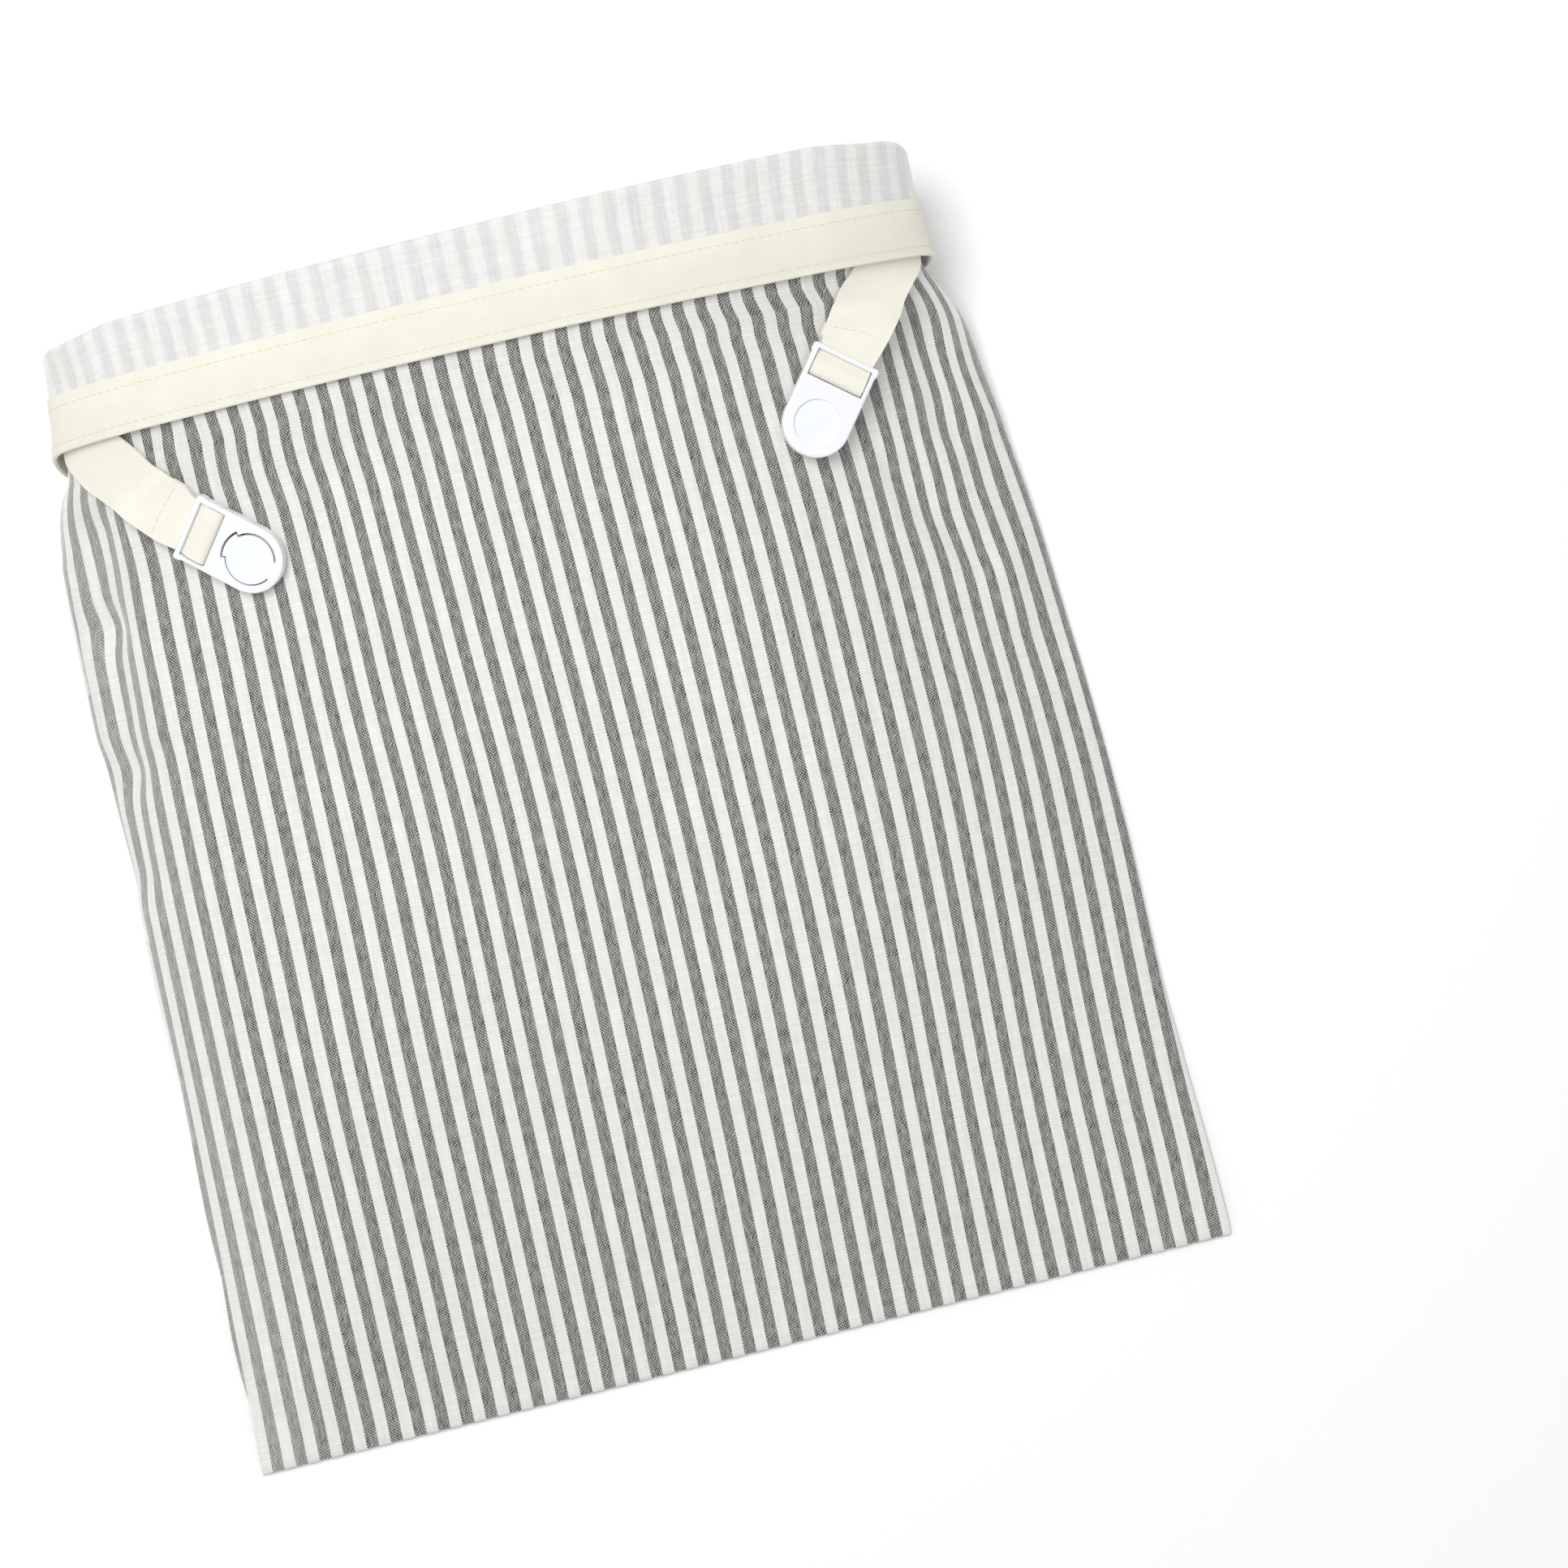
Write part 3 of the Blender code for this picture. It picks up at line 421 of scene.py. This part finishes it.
# Smaller drifts beside the straps, each fading out over its width and height.
Drift = namedtuple("Drift", "across up by wide tall")
DRIFTS = [
    Drift(25, 272, -1.8, 12, 16),
    Drift(19, 235, -1.1, 8, 24),
    Drift(34, 257, 1.4, 10, 12),
    Drift(51, 279, 1.7, 13, 15),
    Drift(40, 290, -1.3, 11, 14),
    Drift(27, 310, 1.9, 11, 13),
    Drift(57, 270, -1.4, 9, 12),
    Drift(16, 317, -2.7, 12, 19),
    Drift(58, 347, 1.0, 20, 4),
    Drift(85, 348, 1.0, 45, 5),
    Drift(85, 357, -1.2, 45, 5),
    Drift(85, 337, -0.4, 45, 7),
    Drift(306, 351, -2.6, 10, 7),
]
FRONT_END = 356          # where the cloth has gone round the bag's left side
SWAY_END = 420           # and where no drift is left, on the back


def stripe_sway(across, up):
    """The tables' sway, smoothed along the stripes, and fading away round the back."""
    heights = [row.up for row in SWAYS]
    columns = np.array([row[1:] for row in SWAYS])
    found = np.zeros(len(across))
    for step in (-8, 0, 8):
        row = [np.interp(np.mean(up) + step, heights, column) for column in columns.T]
        found += np.interp(across, SWAY_ACROSS, row) / 3
    for drift in DRIFTS:
        found += drift.by * np.exp(-((across - drift.across) / drift.wide) ** 2
                                   - ((up - drift.up) / drift.tall) ** 2)
    return found * (1 - smoothstep(across, FRONT_END, SWAY_END))


def places_round(front_count, back_count):
    """Places right round the bag, closer together on its front than on its back."""
    return np.concatenate([np.linspace(0, FRONT_END, front_count, endpoint=False),
                           np.linspace(FRONT_END, AROUND, back_count, endpoint=False)])


SEAM_RISE = 0.35         # over the bottom seam's turned-in edges, which lie inside
SEAM_HEIGHT = 1.25       # where front and back are drawn together at the bottom
column_across = places_round(126, 62)
fold, edge, gap = mouth_at(column_across)
turn_up = fold - gap / 2
body_rows, body_measures = [], []


def body_row(up, lift, forward, length_up):
    """A row of points right round the bag, with its place along the cloth for the weave."""
    points = over_cloth(column_across, up, lift)
    points[:, 1] += forward
    points[:, 2] += (SEAM_RISE * (1 - smoothstep(points[:, 1], 4.6, 6.6))
                     * smoothstep(points[:, 2], 2.5, 6.0))
    body_rows.append(points)
    swayed = column_across + stripe_sway(column_across, length_up)
    body_measures.append(np.column_stack([swayed, length_up * np.ones(len(points))]))


# From the bottom seam up to the mouth, round the mouth's fold and down the cuff.
for pinch, y in ((0.75, 0.0), (0.3, 0.25), (0.0, 1.0)):
    body_row(y * np.ones(len(column_across)), 0.0, 0.0, y)
    body_rows[-1][:, 2] += pinch * (SEAM_HEIGHT - body_rows[-1][:, 2])
for share in np.linspace(0, 1, 140)[1:]:
    body_row(1.0 + share * (turn_up - 1.0), 0.0, 0.0, 1.0 + share * (turn_up - 1.0))
for degrees in range(18, 181, 18):
    angle = math.radians(degrees)
    body_row(turn_up, gap / 2 * (1 - math.cos(angle)), gap / 2 * math.sin(angle),
             turn_up + gap / 2 * angle)
cuff_end = edge + CUFF_END
for share in np.linspace(0, 1, 16)[1:]:
    up = turn_up + share * (cuff_end - turn_up)
    body_row(up, gap, 0.0, turn_up + gap / 2 * math.pi + turn_up - up)

linen_body = add_sheet("linen_body", body_rows, body_measures, True, CLOTH,
                       [linen_right_side, linen_wrong_side], closed_start=True)
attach(linen_body, "root")
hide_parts("bag_body")

# ---------------------------------------------------------------------- the mouth's binding
# A cotton tape, plain woven and undyed cream, folded in half over the raw edge of the mouth and
# machine-stitched through all its layers.

TAPE_YARN = 0.5          # the real yarns are 0.35 mm apart, drawn coarser so that they show


def woven_tape(name, cream, shade_depth):
    """Undyed cotton tape: a fine close plain weave with a soft, slightly uneven cream tone."""
    material = bpy.data.materials.new(name)
    material.use_nodes = True
    tree = material.node_tree
    shader = tree.nodes["Principled BSDF"]
    shader.inputs["Roughness"].default_value = 0.9
    shader.inputs["Sheen Weight"].default_value = 0.15
    shader.inputs["Sheen Roughness"].default_value = 0.5
    shader.inputs["Specular IOR Level"].default_value = 0.25
    measure = add_node(tree, "ShaderNodeUVMap", uv_map="measure").outputs[0]
    split = add_node(tree, "ShaderNodeSeparateXYZ", links={0: measure})
    waves = []
    for axis in (0, 1):
        turned = add_node(tree, "ShaderNodeMath", {1: math.pi / (TAPE_YARN * MM)},
                          {0: split.outputs[axis]}, operation="MULTIPLY").outputs[0]
        waves.append(add_node(tree, "ShaderNodeMath", links={0: turned},
                              operation="SINE").outputs[0])
    crown = add_node(tree, "ShaderNodeMath", links={0: waves[0], 1: waves[1]},
                     operation="MULTIPLY").outputs[0]
    height = add_node(tree, "ShaderNodeMath", links={0: crown}, operation="ABSOLUTE").outputs[0]
    tone = add_node(tree, "ShaderNodeTexNoise", {"Scale": 90.0, "Detail": 3.0},
                    {0: measure}).outputs[0]
    tone = add_node(tree, "ShaderNodeMapRange", {1: 0.3, 2: 0.7, 3: 1 - shade_depth, 4: 1.0},
                    {0: tone}).outputs[0]
    gap_shade = add_node(tree, "ShaderNodeMapRange", {1: 0.0, 2: 0.4, 3: 0.93, 4: 1.0},
                         {0: height}).outputs[0]
    shade = add_node(tree, "ShaderNodeMath", links={0: tone, 1: gap_shade},
                     operation="MULTIPLY").outputs[0]
    cloth = add_node(tree, "ShaderNodeVectorMath", {0: linear(cream)[:3]}, {"Scale": shade},
                     operation="SCALE").outputs[0]
    tree.links.new(cloth, shader.inputs["Base Color"])
    bump = add_node(tree, "ShaderNodeBump", {"Strength": 0.4, "Distance": 0.08 * MM},
                    {"Height": height})
    tree.links.new(bump.outputs[0], shader.inputs["Normal"])
    return material


cotton_tape = woven_tape("cotton_tape", "#f0ede0", 0.05)

TAPE = 0.5               # the tape's thickness
BINDING_WIDTH = 19.0
BINDING_FOLD = 4.5       # what its lower fold takes up of the tape's width
BINDING_GAP = 0.65       # from the cuff to the binding, between the middles of the cloth
tape_columns = places_round(150, 80)
fold, edge, gap = mouth_at(tape_columns)
leg_start = edge + TAPE / 2 + BINDING_GAP
leg_end = edge + BINDING_WIDTH
tape_rows, tape_measures = [], []


def tape_row(up, lift, forward, width_at):
    """A row of points right round the binding, with its place across the tape."""
    points = over_cloth(tape_columns, up, lift)
    points[:, 1] += forward
    tape_rows.append(points)
    tape_measures.append(np.column_stack([tape_columns, width_at * np.ones(len(points))]))


# Down the outer leg, round the fold and up the inner leg.
for share in np.linspace(1, 0, 13):
    tape_row(leg_start + share * (leg_end - leg_start), gap + BINDING_GAP, 0.0,
             BINDING_WIDTH * share)
for degrees in range(20, 180, 20):
    angle = math.radians(degrees)
    tape_row(leg_start, gap + BINDING_GAP * math.cos(angle), -BINDING_GAP * math.sin(angle),
             -BINDING_GAP * angle)
for share in np.linspace(0, 1, 9):
    tape_row(leg_start + share * (leg_end - leg_start), gap - BINDING_GAP, 0.0,
             -BINDING_FOLD - BINDING_WIDTH * share)
binding_tape = add_sheet("binding_tape", tape_rows, tape_measures, True, TAPE, [cotton_tape])
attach(binding_tape, "root")
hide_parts("mouth_binding")

# ---------------------------------------------------------------------- the straps
# The same cotton tape in two short tabs. Each is sewn in under the binding at one side of the
# mouth, goes through its buckle and round the bar, and comes back underneath to be stitched.

WEBBING = 0.8            # the tape's thickness
STRAP_WIDTH = 19.6       # inside the buckle's window
STRAP_LIFT = 1.8         # over the body's cloth, where the tape is single
RETURN_LIFT = 1.75       # the end that comes back underneath
DOUBLE_LIFT = 3.15       # and the tape above it
RETURN_LENGTH = 14.0
DOUBLED = (1.2, 2.5, 3.5, 5, 6.5, 8, 9.5, 11, 12.5)      # rows back from the buckle's end bar
SOLID_CLOTH = 1.0        # the thickness of cloth that the buckles lie over
SEAT_CLEAR = 0.3
BUCKLE_WIDTH = 23.7
BUCKLE_LENGTH = 37.3

# Each strap's two edges over the body, from the tucked end to the buckle's end bar.
Edges = namedtuple("Edges", "inner_across inner_up outer_across outer_up stand")
STRAP_LEFT = [
    Edges(328.0, 370.0, 349.0, 368.0, 0.0),
    Edges(322.0, 361.8, 350.0, 357.5, 0.0),
    Edges(318.0, 356.6, 343.4, 349.7, 1.0),
    Edges(311.9, 349.3, 334.0, 342.9, 2.5),
    Edges(304.6, 344.2, 323.8, 335.5, 3.5),
    Edges(298.0, 339.3, 316.1, 327.5, 3.5),
    Edges(292.6, 335.1, 310.2, 319.8, 3.0),
]
STRAP_RIGHT = [
    Edges(37.0, 366.0, 14.0, 364.0, 0.0),
    Edges(44.5, 355.5, 14.0, 354.5, 0.0),
    Edges(49.0, 351.8, 17.5, 350.3, 3.0),
    Edges(55.2, 347.5, 26.4, 345.1, 8.0),
    Edges(63.5, 341.5, 35.6, 337.9, 11.0),
    Edges(68.8, 337.5, 43.2, 331.7, 11.5),
    Edges(73.0, 333.7, 49.8, 324.8, 11.0),
]

# Where each buckle lies: its end bar, its disc, and how far it is levelled off the cloth's slope.
Lie = namedtuple("Lie", "bar_across bar_up disc_across disc_up level")
LIE_LEFT = Lie(299.9, 327.0, 278.8, 308.8, 0.0)
LIE_RIGHT = Lie(63.2, 328.2, 83.2, 306.5, 0.65)


def strap_length(edges):
    """The distance along a strap's middle line at each row of its table."""
    middles = [(np.array(row[:2]) + np.array(row[2:4])) / 2 for row in edges]
    steps = [np.linalg.norm(after - before) for before, after in zip(middles, middles[1:])]
    return np.concatenate([[0.0], np.cumsum(steps)])


def over_body(edges, before_bar, v, lift):
    """A strap's point, at a distance back from the buckle; v is -1 inside and 1 outside."""
    gone = strap_length(edges)
    position = np.interp(gone[-1] - before_bar, gone, range(len(edges)))
    i = min(int(position), len(edges) - 2)
    t = position - i
    a, b, c, d = (np.array(edges[min(max(k, 0), len(edges) - 1)]) for k in range(i - 1, i + 3))
    row = 0.5 * (2 * b + (c - a) * t + (2 * a - 5 * b + 4 * c - d) * t**2
                 + (3 * b - a - 3 * c + d) * t**3)
    share = (1 + v) / 2
    across, up = (1 - share) * row[:2] + share * row[2:4]
    return over_cloth(across, up, lift) + np.array([0, 0, share * row[4]])


Seat = namedtuple("Seat", "origin along across out")


def buckle_seat(lie):
    """Where a buckle lies: on the plane of the cloth below it, lifted clear of its high spots."""
    start = np.array(lie[:2])
    ahead = np.array(lie[2:4]) - start
    ahead /= np.linalg.norm(ahead)

    def cloth_point(s, t, lift):
        across, up = start + s * ahead + t * np.array([-ahead[1], ahead[0]])
        return over_cloth(across, up, lift)

    cloth = np.array([cloth_point(s, t, SOLID_CLOTH / 2)
                      for s in np.linspace(-1, BUCKLE_LENGTH + 1, 9)
                      for t in np.linspace(-BUCKLE_WIDTH / 2, BUCKLE_WIDTH / 2, 5)])
    middle = cloth.mean(axis=0)
    out = np.linalg.svd(cloth - middle)[2][2]
    out = (1 - lie.level) * math.copysign(1, out[2]) * out + lie.level * np.array([0, 0, 1])
    out /= np.linalg.norm(out)
    bar = cloth_point(0, 0, 0)
    along = cloth_point(BUCKLE_LENGTH, 0, 0) - bar
    along -= np.dot(along, out) * out
    along /= np.linalg.norm(along)
    across = np.cross(out, along)
    height = max(np.dot(point - bar, out) for point in cloth) + SEAT_CLEAR
    return Seat(bar + height * out, along, across, out)


def in_seat(seat, ahead, sideways, height):
    """A point in a buckle's own place, ahead of its end bar and above its underside."""
    return seat.origin + ahead * seat.along + sideways * seat.across + height * seat.out


# The strap's way through the buckle, ahead of the end bar and above the buckle's underside.
Turn = namedtuple("Turn", "ahead height")
THROUGH = [Turn(0, 1.9), Turn(2.2, 1.95), Turn(3.8, 2.7), Turn(5.4, 3.65), Turn(7.4, 3.75),
           Turn(9.3, 3.7), Turn(10.35, 3.1), Turn(10.7, 2.1), Turn(10.35, 1.1), Turn(9.3, 0.5),
           Turn(7.0, 0.5), Turn(3.5, 0.5), Turn(0, 0.5)]
STRAP_ACROSS = np.linspace(-1, 1, 13)


def add_strap(name, edges, lie, material):
    """A tape from under the cuff, through the buckle and back, as one bent sheet."""
    seat = buckle_seat(lie)
    outwards = over_body(edges, 0, 1, 0) - over_body(edges, 0, -1, 0)
    mirror = math.copysign(1, np.dot(seat.across, outwards))
    length = strap_length(edges)[-1]

    def row_at(before_bar, wall_lift, seat_height):
        """Soft over the body, and turning rigid over the last 8 mm before the buckle."""
        share = smoothstep(before_bar, 0, 8)
        row = []
        for v in STRAP_ACROSS:
            rigid = in_seat(seat, -before_bar, mirror * v * STRAP_WIDTH / 2, seat_height)
            soft = over_body(edges, before_bar, v, wall_lift)
            row.append(share * soft + (1 - share) * rigid)
        return row

    rows = []
    for before_bar in np.linspace(length, RETURN_LENGTH, 28):
        rise = 1 - smoothstep(before_bar, RETURN_LENGTH + 1, RETURN_LENGTH + 9)
        rows.append(row_at(before_bar, STRAP_LIFT + rise * (DOUBLE_LIFT - STRAP_LIFT), 0))
    for before_bar in DOUBLED[::-1]:
        rows.append(row_at(before_bar, DOUBLE_LIFT, THROUGH[0].height))
    for turn in THROUGH:
        rows.append([in_seat(seat, turn.ahead, mirror * v * STRAP_WIDTH / 2, turn.height)
                     for v in STRAP_ACROSS])
    for before_bar in (*DOUBLED, RETURN_LENGTH):
        rows.append(row_at(before_bar, RETURN_LIFT, THROUGH[-1].height))
    rows = np.array(rows)
    middles = rows[:, len(STRAP_ACROSS) // 2]
    along = np.concatenate([[0.0], np.cumsum(np.linalg.norm(np.diff(middles, axis=0), axis=1))])
    measures = [np.column_stack([STRAP_ACROSS * STRAP_WIDTH / 2, s * np.ones(len(STRAP_ACROSS))])
                for s in along]
    piece = add_sheet(name, rows, measures, False, WEBBING, [material])
    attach(piece, "root")
    return piece, along[-1]


strap_cotton = woven_tape("strap_cotton", "#f3f0e4", 0.04)
tab_left, left_cut = add_strap("tab_left", STRAP_LEFT, LIE_LEFT, strap_cotton)
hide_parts("strap_left")
tab_right, right_cut = add_strap("tab_right", STRAP_RIGHT, LIE_RIGHT, strap_cotton)
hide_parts("strap_right")

# ---------------------------------------------------------------------- the sewing
# Undyed cotton thread, machine lockstitch: one row near the binding's upper edge, one close
# above its folded edge, and a short row across each strap where its end is turned back.

STITCH = 2.3             # what shows of one stitch
STITCH_PITCH = 3.1       # from one stitch to the next
THREAD = 0.3             # the thread's thickness
THREAD_PROUD = 0.08      # from the tape's face up to the thread's middle

# Spun cotton thread, twisted and undyed: matt, and a shade deeper than the tape round it,
# partly the thread's own tone and partly painted shade of the dimples where it sinks into the
# tape.
thread_cotton = bpy.data.materials.new("thread_cotton")
thread_cotton.use_nodes = True
thread_shader = thread_cotton.node_tree.nodes["Principled BSDF"]
thread_shader.inputs["Base Color"].default_value = linear("#e4dfcb")
thread_shader.inputs["Roughness"].default_value = 0.75
thread_shader.inputs["Specular IOR Level"].default_value = 0.3

# One stitch: its middle lies straight, and both its ends taper and dip into the tape.
bpy.ops.mesh.primitive_cylinder_add(vertices=6, radius=THREAD / 2 * MM, depth=STITCH * 0.6 * MM,
                                    rotation=(0, math.radians(90), 0))
one_stitch = bpy.context.object
one_stitch.name = "one_stitch"
bpy.ops.object.transform_apply(location=False, rotation=True, scale=True)
for end in (-1, 1):
    bpy.ops.object.mode_set(mode="EDIT")
    bpy.ops.mesh.select_all(action="DESELECT")
    bpy.ops.object.mode_set(mode="OBJECT")
    for polygon in one_stitch.data.polygons:
        polygon.select = polygon.normal.x * end > 0.9
    bpy.ops.object.mode_set(mode="EDIT")
    bpy.ops.mesh.select_mode(type="FACE")
    bpy.ops.mesh.extrude_region_move(
        TRANSFORM_OT_translate={"value": (end * STITCH * 0.2 * MM, 0, -0.3 * THREAD * MM)})
    bpy.ops.transform.resize(value=(1, 0.6, 0.6))
    bpy.ops.object.mode_set(mode="OBJECT")
bpy.ops.object.shade_smooth_by_angle(angle=math.radians(70))
one_stitch.data.materials.append(thread_cotton)


def sew(name, points, outs):
    """Stitches along a line of points in the bag's millimetres, joined as one piece."""
    steps = np.linalg.norm(np.diff(points, axis=0), axis=1)
    gone = np.concatenate([[0.0], np.cumsum(steps)])
    copies = []
    for at in np.arange(STITCH_PITCH / 2, gone[-1], STITCH_PITCH):
        ends = [np.array([np.interp(at + shift, gone, points[:, axis]) for axis in range(3)])
                for shift in (-STITCH / 2, STITCH / 2)]
        ahead = (ends[1] - ends[0]) / np.linalg.norm(ends[1] - ends[0])
        out = np.array([np.interp(at, gone, outs[:, axis]) for axis in range(3)])
        side = np.cross(out, ahead)
        side /= np.linalg.norm(side)
        out = np.cross(ahead, side)
        place = Matrix(np.column_stack([ahead, side, out]).tolist()).to_4x4()
        place.translation = in_metres((ends[0] + ends[1]) / 2)
        mesh = one_stitch.data.copy()
        mesh.transform(place)
        copy = bpy.data.objects.new(name, mesh)
        bpy.context.scene.collection.objects.link(copy)
        copies.append(copy)
    bpy.ops.object.select_all(action="DESELECT")
    for copy in copies:
        copy.select_set(True)
    bpy.context.view_layer.objects.active = copies[0]
    bpy.ops.object.join()
    piece = bpy.context.object
    piece.name = name
    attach(piece, "root")


def sew_round_mouth(name, width_at):
    """A row of stitches right round the binding, at a height above its folded edge."""
    line_across = np.linspace(0, AROUND, 500)
    fold, edge, gap = mouth_at(line_across)
    start = TAPE / 2 + BINDING_GAP
    up = edge + start + width_at / BINDING_WIDTH * (BINDING_WIDTH - start)
    below = over_cloth(line_across, up, gap + BINDING_GAP)
    above = over_cloth(line_across, up, gap + BINDING_GAP + TAPE / 2 + THREAD_PROUD)
    outs = (above - below) / np.linalg.norm(above - below, axis=1)[:, None]
    sew(name, above, outs)


def sew_across_strap(name, edges, before_bar, tilt):
    """A short row of stitches across a strap, through both of its layers."""
    lift = DOUBLE_LIFT + WEBBING / 2 + THREAD_PROUD
    points = np.array([over_body(edges, before_bar + tilt * v, v, lift)
                       for v in np.linspace(-0.82, 0.82, 12)])
    if points[0][0] > points[-1][0]:
        points = points[::-1]
    sew(name, points, np.array([[0.0, 0.0, 1.0]] * len(points)))


sew_round_mouth("stitches_upper", 15.0)
sew_round_mouth("stitches_lower", 2.3)
sew_across_strap("stitches_left", STRAP_LEFT, 8.2, -2.4)
sew_across_strap("stitches_right", STRAP_RIGHT, 8.2, -3.8)
bpy.data.objects.remove(one_stitch)

# ---------------------------------------------------------------------- the buckles
# Two halves of a snap buckle, injection moulded in white acetal. Each is threaded on the end of
# its strap; the left one has a ring-cut disc that snaps into the round recess of the right one.


def moulded_acetal(name):
    """Acetal (POM) from a fine-eroded mould: opaque cool white with a low satin gloss."""
    material = bpy.data.materials.new(name)
    material.use_nodes = True
    tree = material.node_tree
    shader = tree.nodes["Principled BSDF"]
    shader.inputs["Roughness"].default_value = 0.38
    shader.inputs["IOR"].default_value = 1.48
    where = add_node(tree, "ShaderNodeTexCoord").outputs["Object"]
    grain = add_node(tree, "ShaderNodeTexNoise", {"Scale": 2500.0, "Detail": 2.0},
                     {0: where}).outputs[0]
    tone = add_node(tree, "ShaderNodeTexNoise", {"Scale": 60.0, "Detail": 2.0},
                    {0: where}).outputs[0]
    colour = add_node(tree, "ShaderNodeMix", {6: linear("#ebedf1"), 7: linear("#f1f3f6")},
                      {0: tone}, data_type="RGBA").outputs[2]
    tree.links.new(colour, shader.inputs["Base Color"])
    bump = add_node(tree, "ShaderNodeBump", {"Strength": 0.15, "Distance": 0.02 * MM},
                    {"Height": grain})
    tree.links.new(bump.outputs[0], shader.inputs["Normal"])
    return material


white_acetal = moulded_acetal("white_acetal")
for name in ("buckle_left", "buckle_right"):
    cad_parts[name].data.materials.clear()
    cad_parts[name].data.materials.append(white_acetal)

# ---------------------------------------------------------------------- table, light and camera
# A plain matt white table, a broad soft light from beyond the mouth's left end, and a camera
# that looks straight down, turned a little so that the bag lies aslant.

bpy.ops.mesh.primitive_plane_add(size=6, location=(0, 0, -0.2 * MM))
table = bpy.context.object
table.name = "table"
table_white = bpy.data.materials.new("table_white")
table_white.use_nodes = True
table_shader = table_white.node_tree.nodes["Principled BSDF"]
table_shader.inputs["Base Color"].default_value = linear("#fcfcfc")
table_shader.inputs["Roughness"].default_value = 0.9
table.data.materials.append(table_white)

world = bpy.data.worlds.new("studio")
bpy.context.scene.world = world
world.use_nodes = True
world.node_tree.nodes["Background"].inputs["Color"].default_value = (1.0, 1.0, 1.0, 1.0)
world.node_tree.nodes["Background"].inputs["Strength"].default_value = 0.6

bpy.ops.object.light_add(type="AREA", location=(-0.22, 0.45, 1.52))
key_light = bpy.context.object
key_light.name = "key"
key_light.data.shape = "DISK"
key_light.data.size = 0.8
key_light.data.energy = 14.5
key_light.rotation_euler = (-key_light.location).to_track_quat("-Z", "Y").to_euler()

CAMERA_HEIGHT = 1.75
SEEN_WIDTH = 0.552       # of the table
bpy.ops.object.camera_add(location=(0.0616, -0.00745, CAMERA_HEIGHT),
                          rotation=(0, 0, math.radians(-14)))
camera = bpy.context.object
camera.data.sensor_width = 36.0
camera.data.lens = camera.data.sensor_width * CAMERA_HEIGHT / SEEN_WIDTH
camera.data.clip_end = 20
bpy.context.scene.camera = camera
bpy.context.scene.view_settings.view_transform = "Standard"      # colours as their hex values
